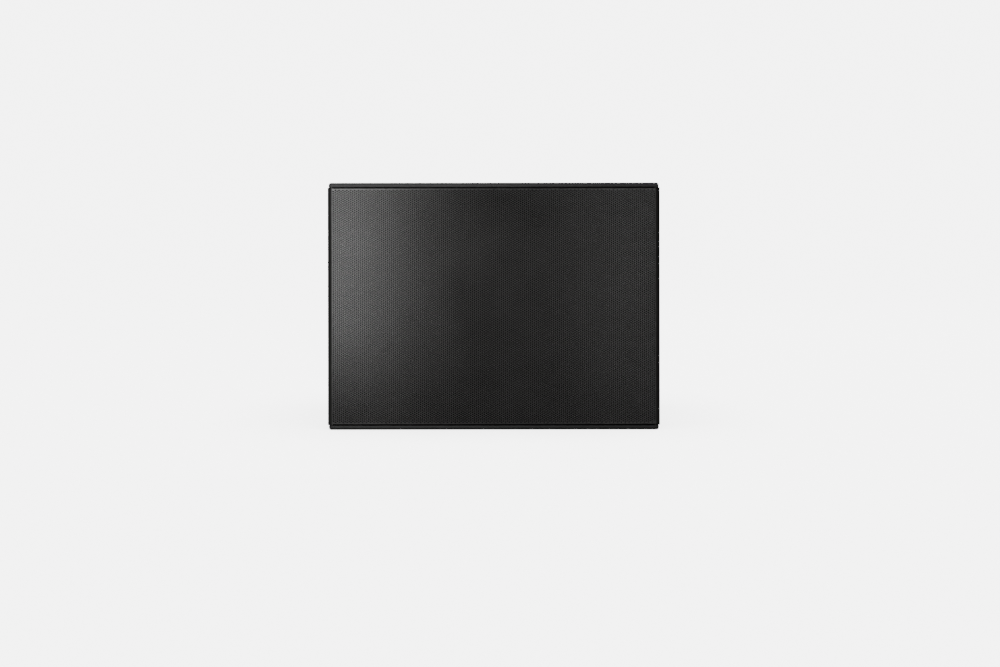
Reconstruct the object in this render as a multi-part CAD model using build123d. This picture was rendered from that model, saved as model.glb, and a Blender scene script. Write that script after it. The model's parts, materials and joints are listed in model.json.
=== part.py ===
from build123d import *
from math import cos, radians, sin, tan
import os

# A two-way, constant-curvature line array loudspeaker: one wedge-shaped cabinet of a
# hanging or stacked column, with a full-face perforated steel grille and built-in rigging.
#
# Cabinet frame, used by every function here: X to the right seen from the front, Y to the
# rear, Z up along the front face. Y = 0 is the foremost line of the top and bottom panels
# and Z = 0 is half way up the front. place_on_floor() turns it so that the bottom panel
# lies flat, because the cabinet stands on that face. Sizes are in millimetres, angles in
# degrees.

# ---------------------------------------------------------------- cabinet
front_width = 596          # over the folded sides of the grille
front_height = 444         # over the top and bottom panels, at the front
cabinet_depth = 440        # front line to the outer face of the rear panel
taper = 5                  # degrees that the top and the bottom panel each slope
panel = 15                 # plywood of the top, bottom, side and rear panels
baffle_thickness = 18
rigging_recess = 26        # depth of the open channel down each side, where the rigging sits
panel_width = front_width - 4      # top and bottom panels stand 2 back from the grille's sides
corner_round = 5           # upright corners of the top and bottom panels
rim_round = 4.5            # rim of their outer faces
rail_height = 8            # lip of the top and bottom panels that shows above and below the grille
baffle_front = 26          # from the front line to the front face of the baffle
brace_front = 335
brace_thickness = 12
brace_window = (400, 240)  # width and height of the opening in the brace
brace_window_round = 40
cut_gap = 0.5              # around a pocket or a dish in its panel

# ---------------------------------------------------------------- grille
grille_sheet = 1.5
grille_setback = 2         # grille face behind the front line
grille_bend = 6            # outer radius of the folded sides
grille_side_depth = 38     # how far the folded sides reach back
grille_return = 9          # depth of the folded top and bottom edges
grille_gap = 1             # between the grille and the lip above or below it
foam_thickness = 8
foam_gap = 0.2
grille_screw_heights = (-150, 0, 150)

# ---------------------------------------------------------------- woofer
woofer_x = -95
woofer_radius = 155        # over the frame's flange
woofer_flange = 6
woofer_bolt_circle = 147   # radius
woofer_bolts = 8
basket_throat = 84         # radius where the basket meets the motor
basket_depth = 99          # baffle front to the seat of the motor
basket_wall = 4
basket_windows = 6
basket_mouth = 141         # radius of the basket where it passes the baffle
basket_seat = 6            # height of the motor's seat
basket_lip = 24            # width of the motor's seat, inwards
basket_window = (62, 60)   # width of a window and its height across the slope
spider_back = 16           # from the spider to the motor
cone_back = 36             # from the cone's neck to the motor
surround_outer = 138       # radius where the surround meets the flange
cone_rim = 122             # radius of the cone's outer edge
coil_radius = 38           # inside of the voice coil former
coil_wall = 1
coil_gap = 0.8             # air between the coil and each pole
magnet_radius = 80
magnet_thickness = 25
pole_plate = 8             # thickness of the top plate and of the back plate
cone_wall = 1.6
vent_radius = 12
cone_rim_depth = 3         # cone's rim behind the flange's face
glue_gap = 0.2             # between the cone's neck and the coil
dust_cap_margin = 14       # from the coil to the rim of the dust cap
dust_cap_rise = 17
dust_cap_wall = 1
surround_wall = 0.9
spider_waves = 5
spider_swing = 1.6         # half height of the spider's folds
spider_cloth = 0.8
magnet_clearance = 6       # from the coil to the magnet's hole
coil_overhang = 8          # coil behind the top plate

# ---------------------------------------------------------------- high frequency section
horn_x = 158
horn_mouth = (160, 376)    # width and height of the mouth
horn_slot = (20, 300)      # width and height of the slot at the horn's throat
horn_wall = 4
horn_flange = (184, 396)
horn_flange_thickness = 5
horn_depth = 84            # baffle front to the horn's throat
manifold_length = 80       # slot to the round throat of the driver
manifold_wall = 6
throat_radius = 18
driver_radius = 52
driver_plate = 8
driver_magnet = 22
diaphragm_radius = 36
driver_cover = 22          # length of the rear cover
driver_cover_wall = 3
diaphragm_rise = 9
diaphragm_wall = 0.6
diaphragm_gap = 2          # from the magnet to the diaphragm's rim

# ---------------------------------------------------------------- crossover
crossover_centre = (-140, 270)     # X and Y of the board
board_size = (170, 92)
board_thickness = 2
board_lift = 8             # board above the bottom panel
board_corner = 6           # from the board's edges to a spacer
spacer_radius = 4
spacer_bore = 2.2
flat_coil = (24, 9, 22)    # outer radius, inner radius and length
flat_coil_place = (-52, 12)
upright_coil = (20, 8, 18)
upright_coil_place = (8, 16)
capacitor_radii = (9, 9, 7)
capacitor_length = 42
capacitor_row = (34, -6)   # where the row starts, and its line across the board
capacitor_gap = 1.5

# ---------------------------------------------------------------- soft lining
top_lining = 20            # inset of the lining's underside below the panel's outer face
rear_lining = 25
lining_gap = 0.5           # from the panel it is glued to
lining_side_gap = 2

# ---------------------------------------------------------------- ports
port_bore = 32             # radius
port_wall = 2.5
port_length = 100
port_x_offset = 123        # from the woofer's axis
port_z = 160

# ---------------------------------------------------------------- rigging, one side
plate = 3                  # steel of the base plates
channel_wall = 4
link_thickness = 8
link_play = 1              # each side of a link in its channel
front_link_y = 88          # centre line of the front link
front_link_width = 42
front_link_top = 192       # height of its tip when it is stowed
front_link_travel = 90
guide_bolt_z = 70
guide_bolt_radius = 5
front_channel_reach = 194  # half height of the front channel
front_channel_windows = ((-120, -20), (100, 150))      # low and high end of each
front_base_gap = 2         # from the baffle to the front base plate
front_base_rear = 140
rear_link_y = 398
rear_pivot_z = 140
rear_link_width = 32
splay_first = 94           # pivot to the first splay hole
splay_pitch = 14
splay_holes = 6
rear_channel_reach = 168
rear_channel_window = (30, 170)    # across and along the channel
rear_channel_window_z = -10
rear_base_front = 342
rear_base_rear = 424
pivot_radius = 5
pin_radius = 4
pin_hole_gap = 0.2
pin_head_radius = 9
pin_head = 11
pin_shank = 17             # from the channel's web to the side panel
front_pin_hole_z = -180    # working hole for the pin of the cabinet below
rear_pin_hole_z = -140
front_pin_park = (128, -110)   # Y and Z where the pin is parked
rear_pin_park = (356, -90)
link_head_radius = 8
link_head = 5
link_head_socket = 3.5     # radius of the hexagon

# ---------------------------------------------------------------- handles
handle_y = 240
pocket_size = (154, 96)    # opening of the hand pocket
pocket_depth = 53          # behind the side panel's outer face
pocket_wall = 2
pocket_flange = (190, 130)
handle_tube = 8            # radius of the steel handle
handle_span = 168          # between the handle's two feet
handle_rise = 13           # from the side panel to the handle's axis
grip_radius = 11
grip_length = 100

# ---------------------------------------------------------------- rear connectors
dish_z = -40
dish_opening = (130, 90)
dish_flange = (160, 120)
dish_depth = 35
dish_wall = 2
socket_spacing = 60
socket_flange = 26         # side of the square flange
socket_radius = 11.5
socket_plate = 3           # thickness of the flange
socket_length = 22         # body behind the dish
socket_collar = (12, 10, 7)    # outer radius, inner radius, height over the dish floor
socket_core = 7.5          # radius of the contact block in the middle of the mouth
socket_mouth = 14          # depth of the mouth below the dish floor
contact_slot = (1.6, 11, 3)
contact_circle = 5         # radius

# ---------------------------------------------------------------- pole socket
pole_y = 205
pole_bore = 17.8           # radius, for a 35 mm pole
pole_wall = 2.2
pole_depth = 80
pole_flange_radius = 48
pole_flange = 3
pole_recess = 0.4          # flange below the surface of the bottom panel

# ---------------------------------------------------------------- fasteners
thread_gap = 0.1           # between a screw's shank and its hole
wood_screw_radius = 2.5
wood_screw_head = 4.8
side_screw_radius = 3
side_screw_head = 5.5
small_screw_radius = 2
small_screw_head = 3.8

# ---------------------------------------------------------------- worked-out places
side_face = panel_width / 2 - rigging_recess       # outer face of the side panels
inner_side = side_face - panel
baffle_rear = baffle_front + baffle_thickness
rear_panel_front = cabinet_depth - panel
front_base_front = baffle_rear + front_base_gap
grille_half_height = front_height / 2 - rail_height - grille_gap
grille_back = grille_setback + grille_sheet
link_inner = plate + link_play
link_outer = link_inner + link_thickness
web_inner = link_outer + link_play
web_outer = web_inner + channel_wall
motor_front = baffle_front + basket_depth
driver_front = baffle_front + horn_depth + manifold_length


def half_height(y, inset=0.0):
    """Height of the sloping top plane above the centre line, inset square to the slope."""
    return front_height / 2 - y * tan(radians(taper)) - inset / cos(radians(taper))


def block(x0, x1, y0, y1, z0, z1):
    """A box between two corners."""
    return Pos((x0 + x1) / 2, (y0 + y1) / 2, (z0 + z1) / 2) * Box(x1 - x0, y1 - y0, z1 - z0)


def wedge(x0, x1, y0, y1, inset):
    """The wedge between the two sloping planes, from y0 to y1 and x0 to x1."""
    z0, z1 = half_height(y0, inset), half_height(y1, inset)
    outline = Polyline((y0, -z0), (y1, -z1), (y1, z1), (y0, z0), close=True)
    return Pos(x0, 0, 0) * extrude(Plane.YZ * make_face(outline), x1 - x0)


def rod_x(radius, x0, x1, y, z):
    """A cylinder along X."""
    return Pos((x0 + x1) / 2, y, z) * Rot(0, 90, 0) * Cylinder(radius, x1 - x0)


def rod_y(radius, y0, y1, x, z):
    """A cylinder along Y."""
    return Pos(x, (y0 + y1) / 2, z) * Rot(90, 0, 0) * Cylinder(radius, y1 - y0)


def turned(points, x, z):
    """A solid of revolution about a line along Y; points are (radius, y)."""
    return Pos(x, 0, z) * revolve(make_face(Polyline(*points, close=True)), Axis.Y)


def ring_y(outer, inner, y0, y1, x, z):
    """A flat ring about a line along Y."""
    return rod_y(outer, y0, y1, x, z) - rod_y(inner, y0, y1, x, z)


def rounded_slab(width, height, radius, y0, y1, x=0.0, z=0.0):
    """A plate in the XZ plane with rounded corners, from y0 to y1."""
    face = Plane.XZ * RectangleRounded(width, height, radius)
    return Pos(x, y0, z) * extrude(face, -(y1 - y0))


def side_slab(length, height, radius, u0, u1, y, z=0.0):
    """A plate in the YZ plane on the right-hand side; u is measured out from the side panel."""
    face = Plane.YZ * RectangleRounded(length, height, radius)
    return Pos(side_face + u0, y, z) * extrude(face, u1 - u0)


def mirrored(shape):
    """The same piece on the left-hand side."""
    return mirror(shape, about=Plane.YZ)


def group(shapes):
    """Several separate solids in one node."""
    return Compound(children=list(shapes))


def grown(size, wall):
    """A width and a height with a wall added on every side."""
    return (size[0] + 2 * wall, size[1] + 2 * wall)


def standing_y(y, z):
    """How far back a point lies once the cabinet stands on its bottom panel."""
    return y * cos(radians(taper)) + z * sin(radians(taper))


def place_on_floor(shape):
    """Stands a piece up: bottom panel flat on Z = 0, origin under the middle of the whole."""
    front_rim = standing_y(rim_round, -half_height(rim_round, rim_round)) - rim_round
    rear_y = cabinet_depth - rim_round
    rear_rim = standing_y(rear_y, half_height(rear_y, rim_round)) + rim_round
    lift = front_height / 2 * cos(radians(taper))
    return Pos(0, -(front_rim + rear_rim) / 2, lift) * Rot(-taper, 0, 0) * shape


# ================================================================ screw patterns
def woofer_screw_places():
    step = 360 / woofer_bolts
    turns = [step * (n + 0.5) for n in range(woofer_bolts)]
    spots = [Rot(0, turn, 0) * Pos(woofer_bolt_circle, 0, 0) for turn in turns]
    return [(woofer_x + s.position.X, s.position.Z) for s in spots]


def horn_screw_places():
    dx = horn_flange[0] / 2 - 6
    dz = horn_flange[1] / 2 - 20
    return [(horn_x + sx * dx, sz * dz) for sx in (-1, 1) for sz in (-1, 0, 1)]


def dish_screw_places():
    dx = dish_flange[0] / 2 - 7
    dz = dish_flange[1] / 2 - 7
    return [(sx * dx, dish_z + sz * dz) for sx in (-1, 1) for sz in (-1, 1)]


def side_screw_places():
    """(Y, Z, height of the seat) of the screws through the rigging plates and the hand pocket."""
    channel_front = front_link_y - front_link_width / 2 - link_play - channel_wall
    front_columns = ((front_base_front + channel_front) / 2, front_base_rear - 18)
    front = [(y, z, plate) for y in front_columns for z in (-160, -60, 60, 160)]
    rear = [(rear_base_front + 18, z, plate) for z in (-140, -40, 40, 140)]
    dy = pocket_flange[0] / 2 - 8
    dz = pocket_flange[1] / 2 - 8
    pocket = [(handle_y + sy * dy, sz * dz, pocket_wall) for sy in (-1, 1) for sz in (-1, 1)]
    return front + rear + pocket


def pole_screw_places():
    step = 360 / 4
    reach = pole_flange_radius - 12
    spots = [Rot(0, 0, step * (n + 0.5)) * Pos(reach, 0, 0) for n in range(4)]
    return [(s.position.X, s.position.Y) for s in spots]


# ================================================================ cabinet panels
def top_panel():
    """Sloping panel, rebated at the front for the grille, with slots for the rigging links."""
    lip = front_height / 2 - rail_height
    inner_front = half_height(baffle_front, panel)
    outline = Polyline(
        (0, front_height / 2),
        (cabinet_depth, half_height(cabinet_depth)),
        (cabinet_depth, half_height(cabinet_depth, panel)),
        (baffle_front, inner_front),
        (baffle_front, lip),
        (0, lip),
        close=True,
    )
    body = Pos(-panel_width / 2, 0, 0) * extrude(Plane.YZ * make_face(outline), panel_width)
    upright = body.edges().filter_by(Axis.Z)
    corners = [e for e in upright if e.center().Y < 1 or e.center().Y > cabinet_depth - 1]
    body = fillet(corners, corner_round)
    crown = [f for f in body.faces() if f.normal_at().Z > 0.9]
    top_face = max(crown, key=lambda f: f.area)
    body = fillet(top_face.edges(), rim_round)
    for side in (-1, 1):
        for slot in link_slots():
            body -= slot if side > 0 else mirrored(slot)
    return body


def link_slots():
    """Through slots for the front and the rear link; the rear one is open to the rear."""
    x0 = side_face + plate - 0.5
    x1 = side_face + web_inner + 0.5
    half = front_link_width / 2 + link_play
    reach = front_height
    front = block(x0, x1, front_link_y - half, front_link_y + half, -reach, reach)
    rear_start = rear_link_y - rear_link_width / 2 - 4
    rear = block(x0, x1, rear_start, cabinet_depth + panel, -reach, reach)
    return front, rear


def bottom_panel():
    body = mirror(top_panel(), about=Plane.XY)
    recess = pole_frame() * Pos(0, 0, (pole_flange + pole_recess) / 2) * Cylinder(
        pole_flange_radius + 0.3, pole_flange + pole_recess
    )
    bore = pole_frame() * Pos(0, 0, panel) * Cylinder(pole_bore + pole_wall + thread_gap, 3 * panel)
    body = body - recess - bore
    for x, y in pole_screw_places():
        body -= pole_frame() * Pos(x, y, panel / 2) * Cylinder(wood_screw_radius + thread_gap, 2 * panel)
    return body


def side_panel():
    """Right-hand side, with the cut-out for the hand pocket and the screw holes."""
    body = wedge(inner_side, side_face, baffle_rear, rear_panel_front, panel)
    cut = grown(pocket_size, pocket_wall + cut_gap)
    body -= side_slab(*cut, 14, -2 * panel, panel, handle_y)
    for y, z, seat in side_screw_places():
        body -= rod_x(side_screw_radius + thread_gap, side_face - 12, side_face + 1, y, z)
    for y, z in (front_pin_park, rear_pin_park):
        depth = pin_shank - plate + 0.5
        body -= rod_x(pin_radius + pin_hole_gap, side_face - depth, side_face + 1, y, z)
    return body


def rear_panel():
    body = wedge(-side_face, side_face, rear_panel_front, cabinet_depth, panel)
    cut = grown(dish_opening, dish_wall + cut_gap)
    body -= rounded_slab(*cut, 10, rear_panel_front - 1, cabinet_depth + 1, 0, dish_z)
    for x, z in dish_screw_places():
        body -= rod_y(small_screw_radius + thread_gap, cabinet_depth - 12, cabinet_depth + 1, x, z)
    return body


def front_baffle():
    """Full-width baffle: it also closes the front of the two rigging recesses."""
    edge = panel_width / 2
    body = wedge(-edge, edge, baffle_front, baffle_rear, panel)
    y0, y1 = baffle_front - 1, baffle_rear + 1
    body -= rod_y(basket_mouth + 1, y0, y1, woofer_x, 0)
    mouth = grown(horn_mouth, horn_wall + cut_gap)
    body -= block(
        horn_x - mouth[0] / 2, horn_x + mouth[0] / 2, y0, y1, -mouth[1] / 2, mouth[1] / 2
    )
    for x, z in port_places():
        body -= rod_y(port_bore + port_wall + thread_gap, y0, y1, x, z)
    for x, z in woofer_screw_places() + horn_screw_places():
        body -= rod_y(wood_screw_radius + thread_gap, baffle_front - 1, baffle_front + 15, x, z)
    for y, z in grille_screw_places():
        hole = Pos(0, y, z) * grille_screw_hole()
        body = body - hole - mirrored(hole)
    return body


def inner_brace():
    body = wedge(-inner_side, inner_side, brace_front, brace_front + brace_thickness, panel)
    y0, y1 = brace_front - 1, brace_front + brace_thickness + 1
    return body - rounded_slab(*brace_window, brace_window_round, y0, y1)


def port_places():
    return [(woofer_x + sx * port_x_offset, sz * port_z) for sx in (-1, 1) for sz in (-1, 1)]


def port_tubes():
    outer = port_bore + port_wall
    return group(
        ring_y(outer, port_bore, baffle_front, baffle_front + port_length, x, z) for x, z in port_places()
    )


# ================================================================ grille
def grille_screw_y():
    return (baffle_front + grille_setback + grille_side_depth) / 2


def grille_screw_hole():
    """Countersunk hole for a grille screw, on the X axis; it also enters the baffle's edge."""
    half = front_width / 2
    cone = countersunk(small_screw_radius + thread_gap, small_screw_head + thread_gap, half, 1)
    return cone + rod_x(small_screw_radius + thread_gap, half - 13, half, 0, 0)


def front_grille():
    """Folded steel pan; its face is perforated all over, which is left to the visual model."""
    half = front_width / 2
    rear = grille_setback + grille_side_depth
    bend = grille_bend
    reach = grille_half_height
    outer = block(-half, half, grille_setback, rear, -reach, reach)
    outer = fillet([e for e in outer.edges().filter_by(Axis.Z) if e.center().Y < rear - 1], bend)
    hollow = block(-half + grille_sheet, half - grille_sheet, grille_back, rear + 1, -half, half)
    hollow = fillet(
        [e for e in hollow.edges().filter_by(Axis.Z) if e.center().Y < rear - 1], bend - grille_sheet
    )
    body = outer - hollow
    flange_half = half - bend
    for side in (-1, 1):
        z0, z1 = sorted((side * reach, side * (reach - grille_sheet)))
        body += block(-flange_half, flange_half, grille_setback + 1, grille_back + grille_return, z0, z1)
    for y, z in grille_screw_places():
        hole = Pos(0, y, z) * grille_screw_hole()
        body = body - hole - mirrored(hole)
    return body


def grille_foam():
    """Soft acoustic foam that backs the grille."""
    half = front_width / 2 - grille_bend
    reach = grille_half_height - grille_sheet - 0.5
    y0 = grille_back + foam_gap
    return block(-half, half, y0, y0 + foam_thickness, -reach, reach)


def button_screw(radius, head_radius, head, length):
    """Button-head screw with a hexagon socket; the head's seat is at X = 0, its head towards +X."""
    dome = Rot(0, 90, 0) * Pos(0, 0, head / 2) * Cylinder(head_radius, head)
    rim = [e for e in dome.edges() if e.center().X > head - 0.1]
    dome = fillet(rim, head * 0.55)
    socket = Rot(0, 90, 0) * extrude(RegularPolygon(head_radius * 0.42, 6), head)
    socket = Pos(head * 0.45, 0, 0) * socket
    shank = rod_x(radius, -length, 0, 0, 0)
    return dome + shank - socket


def facing_front(shape):
    """Turns a part made along +X to face -Y."""
    return Rot(0, 0, -90) * shape


def facing_rear(shape):
    return Rot(0, 0, 90) * shape


def countersunk(radius, head_radius, x, reach=0.0):
    """Cone of a flush screw head along +X, wide end at x; reach extends it outwards."""
    neck = x - (head_radius - radius)
    outline = [(0, neck), (radius, neck), (head_radius, x)]
    if reach:
        outline.append((head_radius, x + reach))
    outline.append((0, x + reach))
    return Rot(0, 0, -90) * revolve(make_face(Polyline(*outline, close=True)), Axis.Y)


def grille_screw_places():
    return [(grille_screw_y(), z) for z in grille_screw_heights]


def grille_screws():
    """Countersunk screws through the folded sides into the baffle's edges, heads flush."""
    half = front_width / 2 - 0.1
    shank = rod_x(small_screw_radius, half - 12, half - 1, 0, 0)
    head = countersunk(small_screw_radius, small_screw_head, half)
    slot = block(half - 0.6, half + 1, -small_screw_head, small_screw_head, -0.5, 0.5)
    one = shank + head - slot
    right = [Pos(0, y, z) * one for y, z in grille_screw_places()]
    return group(right + [mirrored(s) for s in right])


# ================================================================ woofer
def woofer_frame():
    """Cast basket: a flange, a windowed cone and a seat for the motor."""
    y0 = baffle_front - woofer_flange
    wall_end = motor_front - basket_seat
    outline = [
        (surround_outer, y0),
        (woofer_radius, y0),
        (woofer_radius, baffle_front),
        (basket_mouth, baffle_front),
        (basket_throat, wall_end),
        (basket_throat, motor_front),
        (basket_throat - basket_lip, motor_front),
        (basket_throat - basket_lip, motor_front - basket_wall),
        (basket_throat - basket_wall, wall_end - basket_wall),
        (basket_mouth - basket_wall, baffle_front),
        (surround_outer, baffle_front - 1),
    ]
    body = turned(outline, woofer_x, 0)
    for n in range(basket_windows):
        window = Pos(0, baffle_front + basket_depth * 0.48, (basket_mouth + basket_throat) / 2)
        cutter = window * Box(basket_window[0], basket_depth * 0.55, basket_window[1])
        turn = Rot(0, 360 / basket_windows * (n + 0.5), 0)
        body -= Pos(woofer_x, 0, 0) * turn * cutter
    for x, z in woofer_screw_places():
        body -= rod_y(wood_screw_radius + thread_gap, y0 - 1, baffle_front + 1, x, z)
    return body


def coil_outer():
    return coil_radius + coil_wall


def woofer_top_plate():
    hole = coil_outer() + coil_gap
    return ring_y(basket_throat, hole, motor_front, motor_front + pole_plate, woofer_x, 0)


def woofer_magnet():
    y0 = motor_front + pole_plate
    hole = coil_outer() + magnet_clearance
    return ring_y(magnet_radius, hole, y0, y0 + magnet_thickness, woofer_x, 0)


def woofer_back_plate():
    """Back plate and vented pole piece, turned from one bar."""
    y0 = motor_front + pole_plate + magnet_thickness
    pole = coil_radius - coil_gap
    body = rod_y(magnet_radius, y0, y0 + pole_plate, woofer_x, 0)
    body += rod_y(pole, motor_front, y0 + 1, woofer_x, 0)
    return body - rod_y(vent_radius, motor_front - 1, y0 + pole_plate + 1, woofer_x, 0)


def cone_neck_y():
    return motor_front - cone_back


def cone_neck():
    """Radius of the hole in the cone."""
    return coil_outer() + glue_gap


def cone_rim_y():
    return baffle_front - woofer_flange + cone_rim_depth


def woofer_cone():
    """Straight-sided paper cone with a folded rim."""
    neck = cone_neck()
    rim_y = cone_rim_y()
    neck_y = cone_neck_y()
    outline = [
        (neck, neck_y),
        (cone_rim, rim_y),
        (cone_rim, rim_y + cone_wall),
        (neck, neck_y + cone_wall + 0.6),
    ]
    return turned(outline, woofer_x, 0)


def woofer_dust_cap():
    """Dome over the voice coil: part of a sphere, glued to the cone."""
    rim = coil_outer() + dust_cap_margin
    rim_y = cone_face_y(rim) - 0.1
    rise = dust_cap_rise
    sphere = (rim * rim + rise * rise) / (2 * rise)
    centre_y = rim_y - rise + sphere
    shell = Pos(woofer_x, centre_y, 0) * (Sphere(sphere) - Sphere(sphere - dust_cap_wall))
    return shell & rod_y(rim + 2, rim_y - rise - 1, rim_y, woofer_x, 0)


def cone_face_y(radius):
    """Y of the cone's front face at a radius."""
    neck = cone_neck()
    share = (radius - neck) / (cone_rim - neck)
    return cone_neck_y() + share * (cone_rim_y() - cone_neck_y())


def woofer_voice_coil():
    """Former and winding, which hang in the magnet's gap."""
    y0 = cone_neck_y() - 2
    y1 = motor_front + pole_plate + coil_overhang
    return ring_y(coil_outer(), coil_radius, y0, y1, woofer_x, 0)


def woofer_surround():
    """Half-roll of rubber between the cone and the flange."""
    y = cone_rim_y() + cone_wall
    centre = (cone_rim + surround_outer) / 2
    reach = (surround_outer - cone_rim) / 2
    outer_roll = Pos(centre, y, 0) * Circle(reach)
    inner_roll = Pos(centre, y, 0) * Circle(reach - surround_wall)
    front_half = Pos(centre, y - reach, 0) * Rectangle(4 * reach, 2 * reach)
    band = (outer_roll - inner_roll) & front_half
    return Pos(woofer_x, 0, 0) * revolve(band, Axis.Y)


def basket_inside(y):
    """Radius of the basket's inner wall at a depth."""
    mouth = basket_mouth - basket_wall
    throat = basket_throat - basket_wall
    wall_end = motor_front - basket_seat - basket_wall
    share = (y - baffle_front) / (wall_end - baffle_front)
    return mouth + share * (throat - mouth)


def woofer_spider():
    """Corrugated cloth disc that centres the coil."""
    y = motor_front - spider_back
    outer = basket_inside(y + 3) - 0.3
    inner = coil_outer() + 2 * glue_gap
    pitch = (outer - inner) / spider_waves
    front, back = [], []
    for n in range(2 * spider_waves + 1):
        r = inner + n * pitch / 2
        lift = spider_swing if n % 2 else -spider_swing
        front.append((r, y + lift))
        back.append((r, y + lift + spider_cloth))
    return turned(front + back[::-1], woofer_x, 0)


def driver_screws():
    """Screws of the woofer and of the horn."""
    screw = facing_front(button_screw(wood_screw_radius, wood_screw_head, 3, 14))
    woofer_seat = baffle_front - woofer_flange
    horn_seat = baffle_front - horn_flange_thickness
    woofer = [Pos(x, woofer_seat, z) * screw for x, z in woofer_screw_places()]
    horn = [Pos(x, horn_seat, z) * screw for x, z in horn_screw_places()]
    return group(woofer + horn)


# ================================================================ high frequency section
def tapered_duct(front_size, rear_size, y0, y1):
    """A solid that runs from one rectangle to another along Y."""
    front = Pos(horn_x, y0, 0) * (Plane.XZ * Rectangle(*front_size))
    rear = Pos(horn_x, y1, 0) * (Plane.XZ * Rectangle(*rear_size))
    return loft([front, rear])


def horn():
    """Waveguide: flared walls from the tall slot to the mouth, on a flange."""
    y0 = baffle_front - horn_flange_thickness
    y1 = baffle_front + horn_depth
    outer = tapered_duct(grown(horn_mouth, horn_wall), grown(horn_slot, horn_wall), baffle_front, y1)
    body = outer + rounded_slab(*horn_flange, 8, y0, baffle_front, horn_x)
    body -= tapered_duct(horn_mouth, horn_slot, y0, y1)
    for x, z in horn_screw_places():
        body -= rod_y(wood_screw_radius + thread_gap, y0 - 1, baffle_front + 1, x, z)
    return body


def throat_manifold():
    """Joins the driver's round throat to the horn's tall slot."""
    y0 = baffle_front + horn_depth
    y1 = y0 + manifold_length

    def duct(size, radius, front_y, rear_y):
        front = Pos(horn_x, front_y, 0) * (Plane.XZ * Rectangle(*size))
        rear = Pos(horn_x, rear_y, 0) * (Plane.XZ * Circle(radius))
        return loft([front, rear])

    outer = duct(grown(horn_slot, manifold_wall), throat_radius + manifold_wall, y0, y1)
    return outer - duct(horn_slot, throat_radius, y0, y1)


def driver_front_plate():
    return ring_y(
        driver_radius - 2, throat_radius, driver_front, driver_front + driver_plate, horn_x, 0
    )


def driver_magnet_ring():
    y0 = driver_front + driver_plate
    return ring_y(driver_radius, throat_radius + 4, y0, y0 + driver_magnet, horn_x, 0)


def diaphragm_y():
    return driver_front + driver_plate + driver_magnet


def driver_diaphragm():
    """Thin metal dome that radiates into the throat."""
    rise = diaphragm_rise
    sphere = (diaphragm_radius**2 + rise**2) / (2 * rise)
    base = diaphragm_y() + diaphragm_gap
    shell = Pos(horn_x, base + rise - sphere, 0) * (Sphere(sphere) - Sphere(sphere - diaphragm_wall))
    return shell & rod_y(diaphragm_radius, base, base + rise + 1, horn_x, 0)


def driver_rear_cover():
    y0 = diaphragm_y()
    body = rod_y(driver_radius - 4, y0, y0 + driver_cover, horn_x, 0)
    body = fillet([e for e in body.edges() if e.center().Y > y0 + driver_cover - 0.1], 4)
    return body - rod_y(diaphragm_radius + 3, y0 - 1, y0 + driver_cover - driver_cover_wall, horn_x, 0)


# ================================================================ crossover
def on_bottom(x, y):
    """A place on the inner face of the bottom panel, with its own Z square to that face."""
    z = -half_height(y, panel)
    return Pos(x, y, z) * Rot(taper, 0, 0)


def on_board(x, y, z):
    """A place on the upper face of the crossover board."""
    return on_bottom(*crossover_centre) * Pos(x, y, board_lift + board_thickness + z)


def spacer_places():
    dx = board_size[0] / 2 - board_corner
    dy = board_size[1] / 2 - board_corner
    return [(sx * dx, sy * dy) for sx in (-1, 1) for sy in (-1, 1)]


def crossover_board():
    body = on_board(0, 0, -board_thickness / 2) * Box(*board_size, board_thickness)
    for x, y in spacer_places():
        body -= on_board(x, y, -board_thickness / 2) * Cylinder(spacer_bore, 2 * board_thickness)
    return body


def crossover_spacers():
    """Pillars that hold the board off the panel."""
    base = on_bottom(*crossover_centre) * Pos(0, 0, board_lift / 2)
    return group(base * Pos(x, y, 0) * Cylinder(spacer_radius, board_lift) for x, y in spacer_places())


def winding(size):
    """A ring-shaped coil of wire from its outer radius, inner radius and length."""
    outer, inner, length = size
    return Cylinder(outer, length) - Cylinder(inner, length)


def crossover_coils():
    """Air-cored inductors, their axes at right angles so that they do not couple."""
    flat = on_board(*flat_coil_place, flat_coil[2] / 2) * winding(flat_coil)
    upright = on_board(*upright_coil_place, upright_coil[0]) * Rot(90, 0, 0) * winding(upright_coil)
    return group([flat, upright])


def crossover_capacitors():
    """A row of film capacitors lying side by side."""
    bodies = []
    x, y = capacitor_row
    for radius in capacitor_radii:
        x += radius + capacitor_gap
        bodies.append(on_board(x, y, radius) * Rot(90, 0, 0) * Cylinder(radius, capacitor_length))
        x += radius
    return group(bodies)


# ================================================================ soft lining
def wadding_top():
    """Polyester lining under the top panel, in front of the brace."""
    y0, y1 = baffle_front + port_length + 10, brace_front - 2
    half = inner_side - lining_side_gap
    slab = wedge(-half, half, y0, y1, panel + lining_gap)
    floor_cut = wedge(-inner_side, inner_side, y0 - 1, y1 + 1, panel + top_lining)
    upper = block(-inner_side, inner_side, y0 - 1, y1 + 1, 0, front_height)
    return (slab - floor_cut) & upper


def wadding_rear():
    """Lining of the rear panel, cut out around the connector dish."""
    y1 = rear_panel_front - lining_gap
    y0 = y1 - rear_lining
    half = inner_side - lining_side_gap
    slab = wedge(-half, half, y0, y1, panel + 2 * lining_gap)
    return slab - rounded_slab(*grown(dish_opening, 15), 12, y0 - 5, y1 + 5, 0, dish_z)


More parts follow.
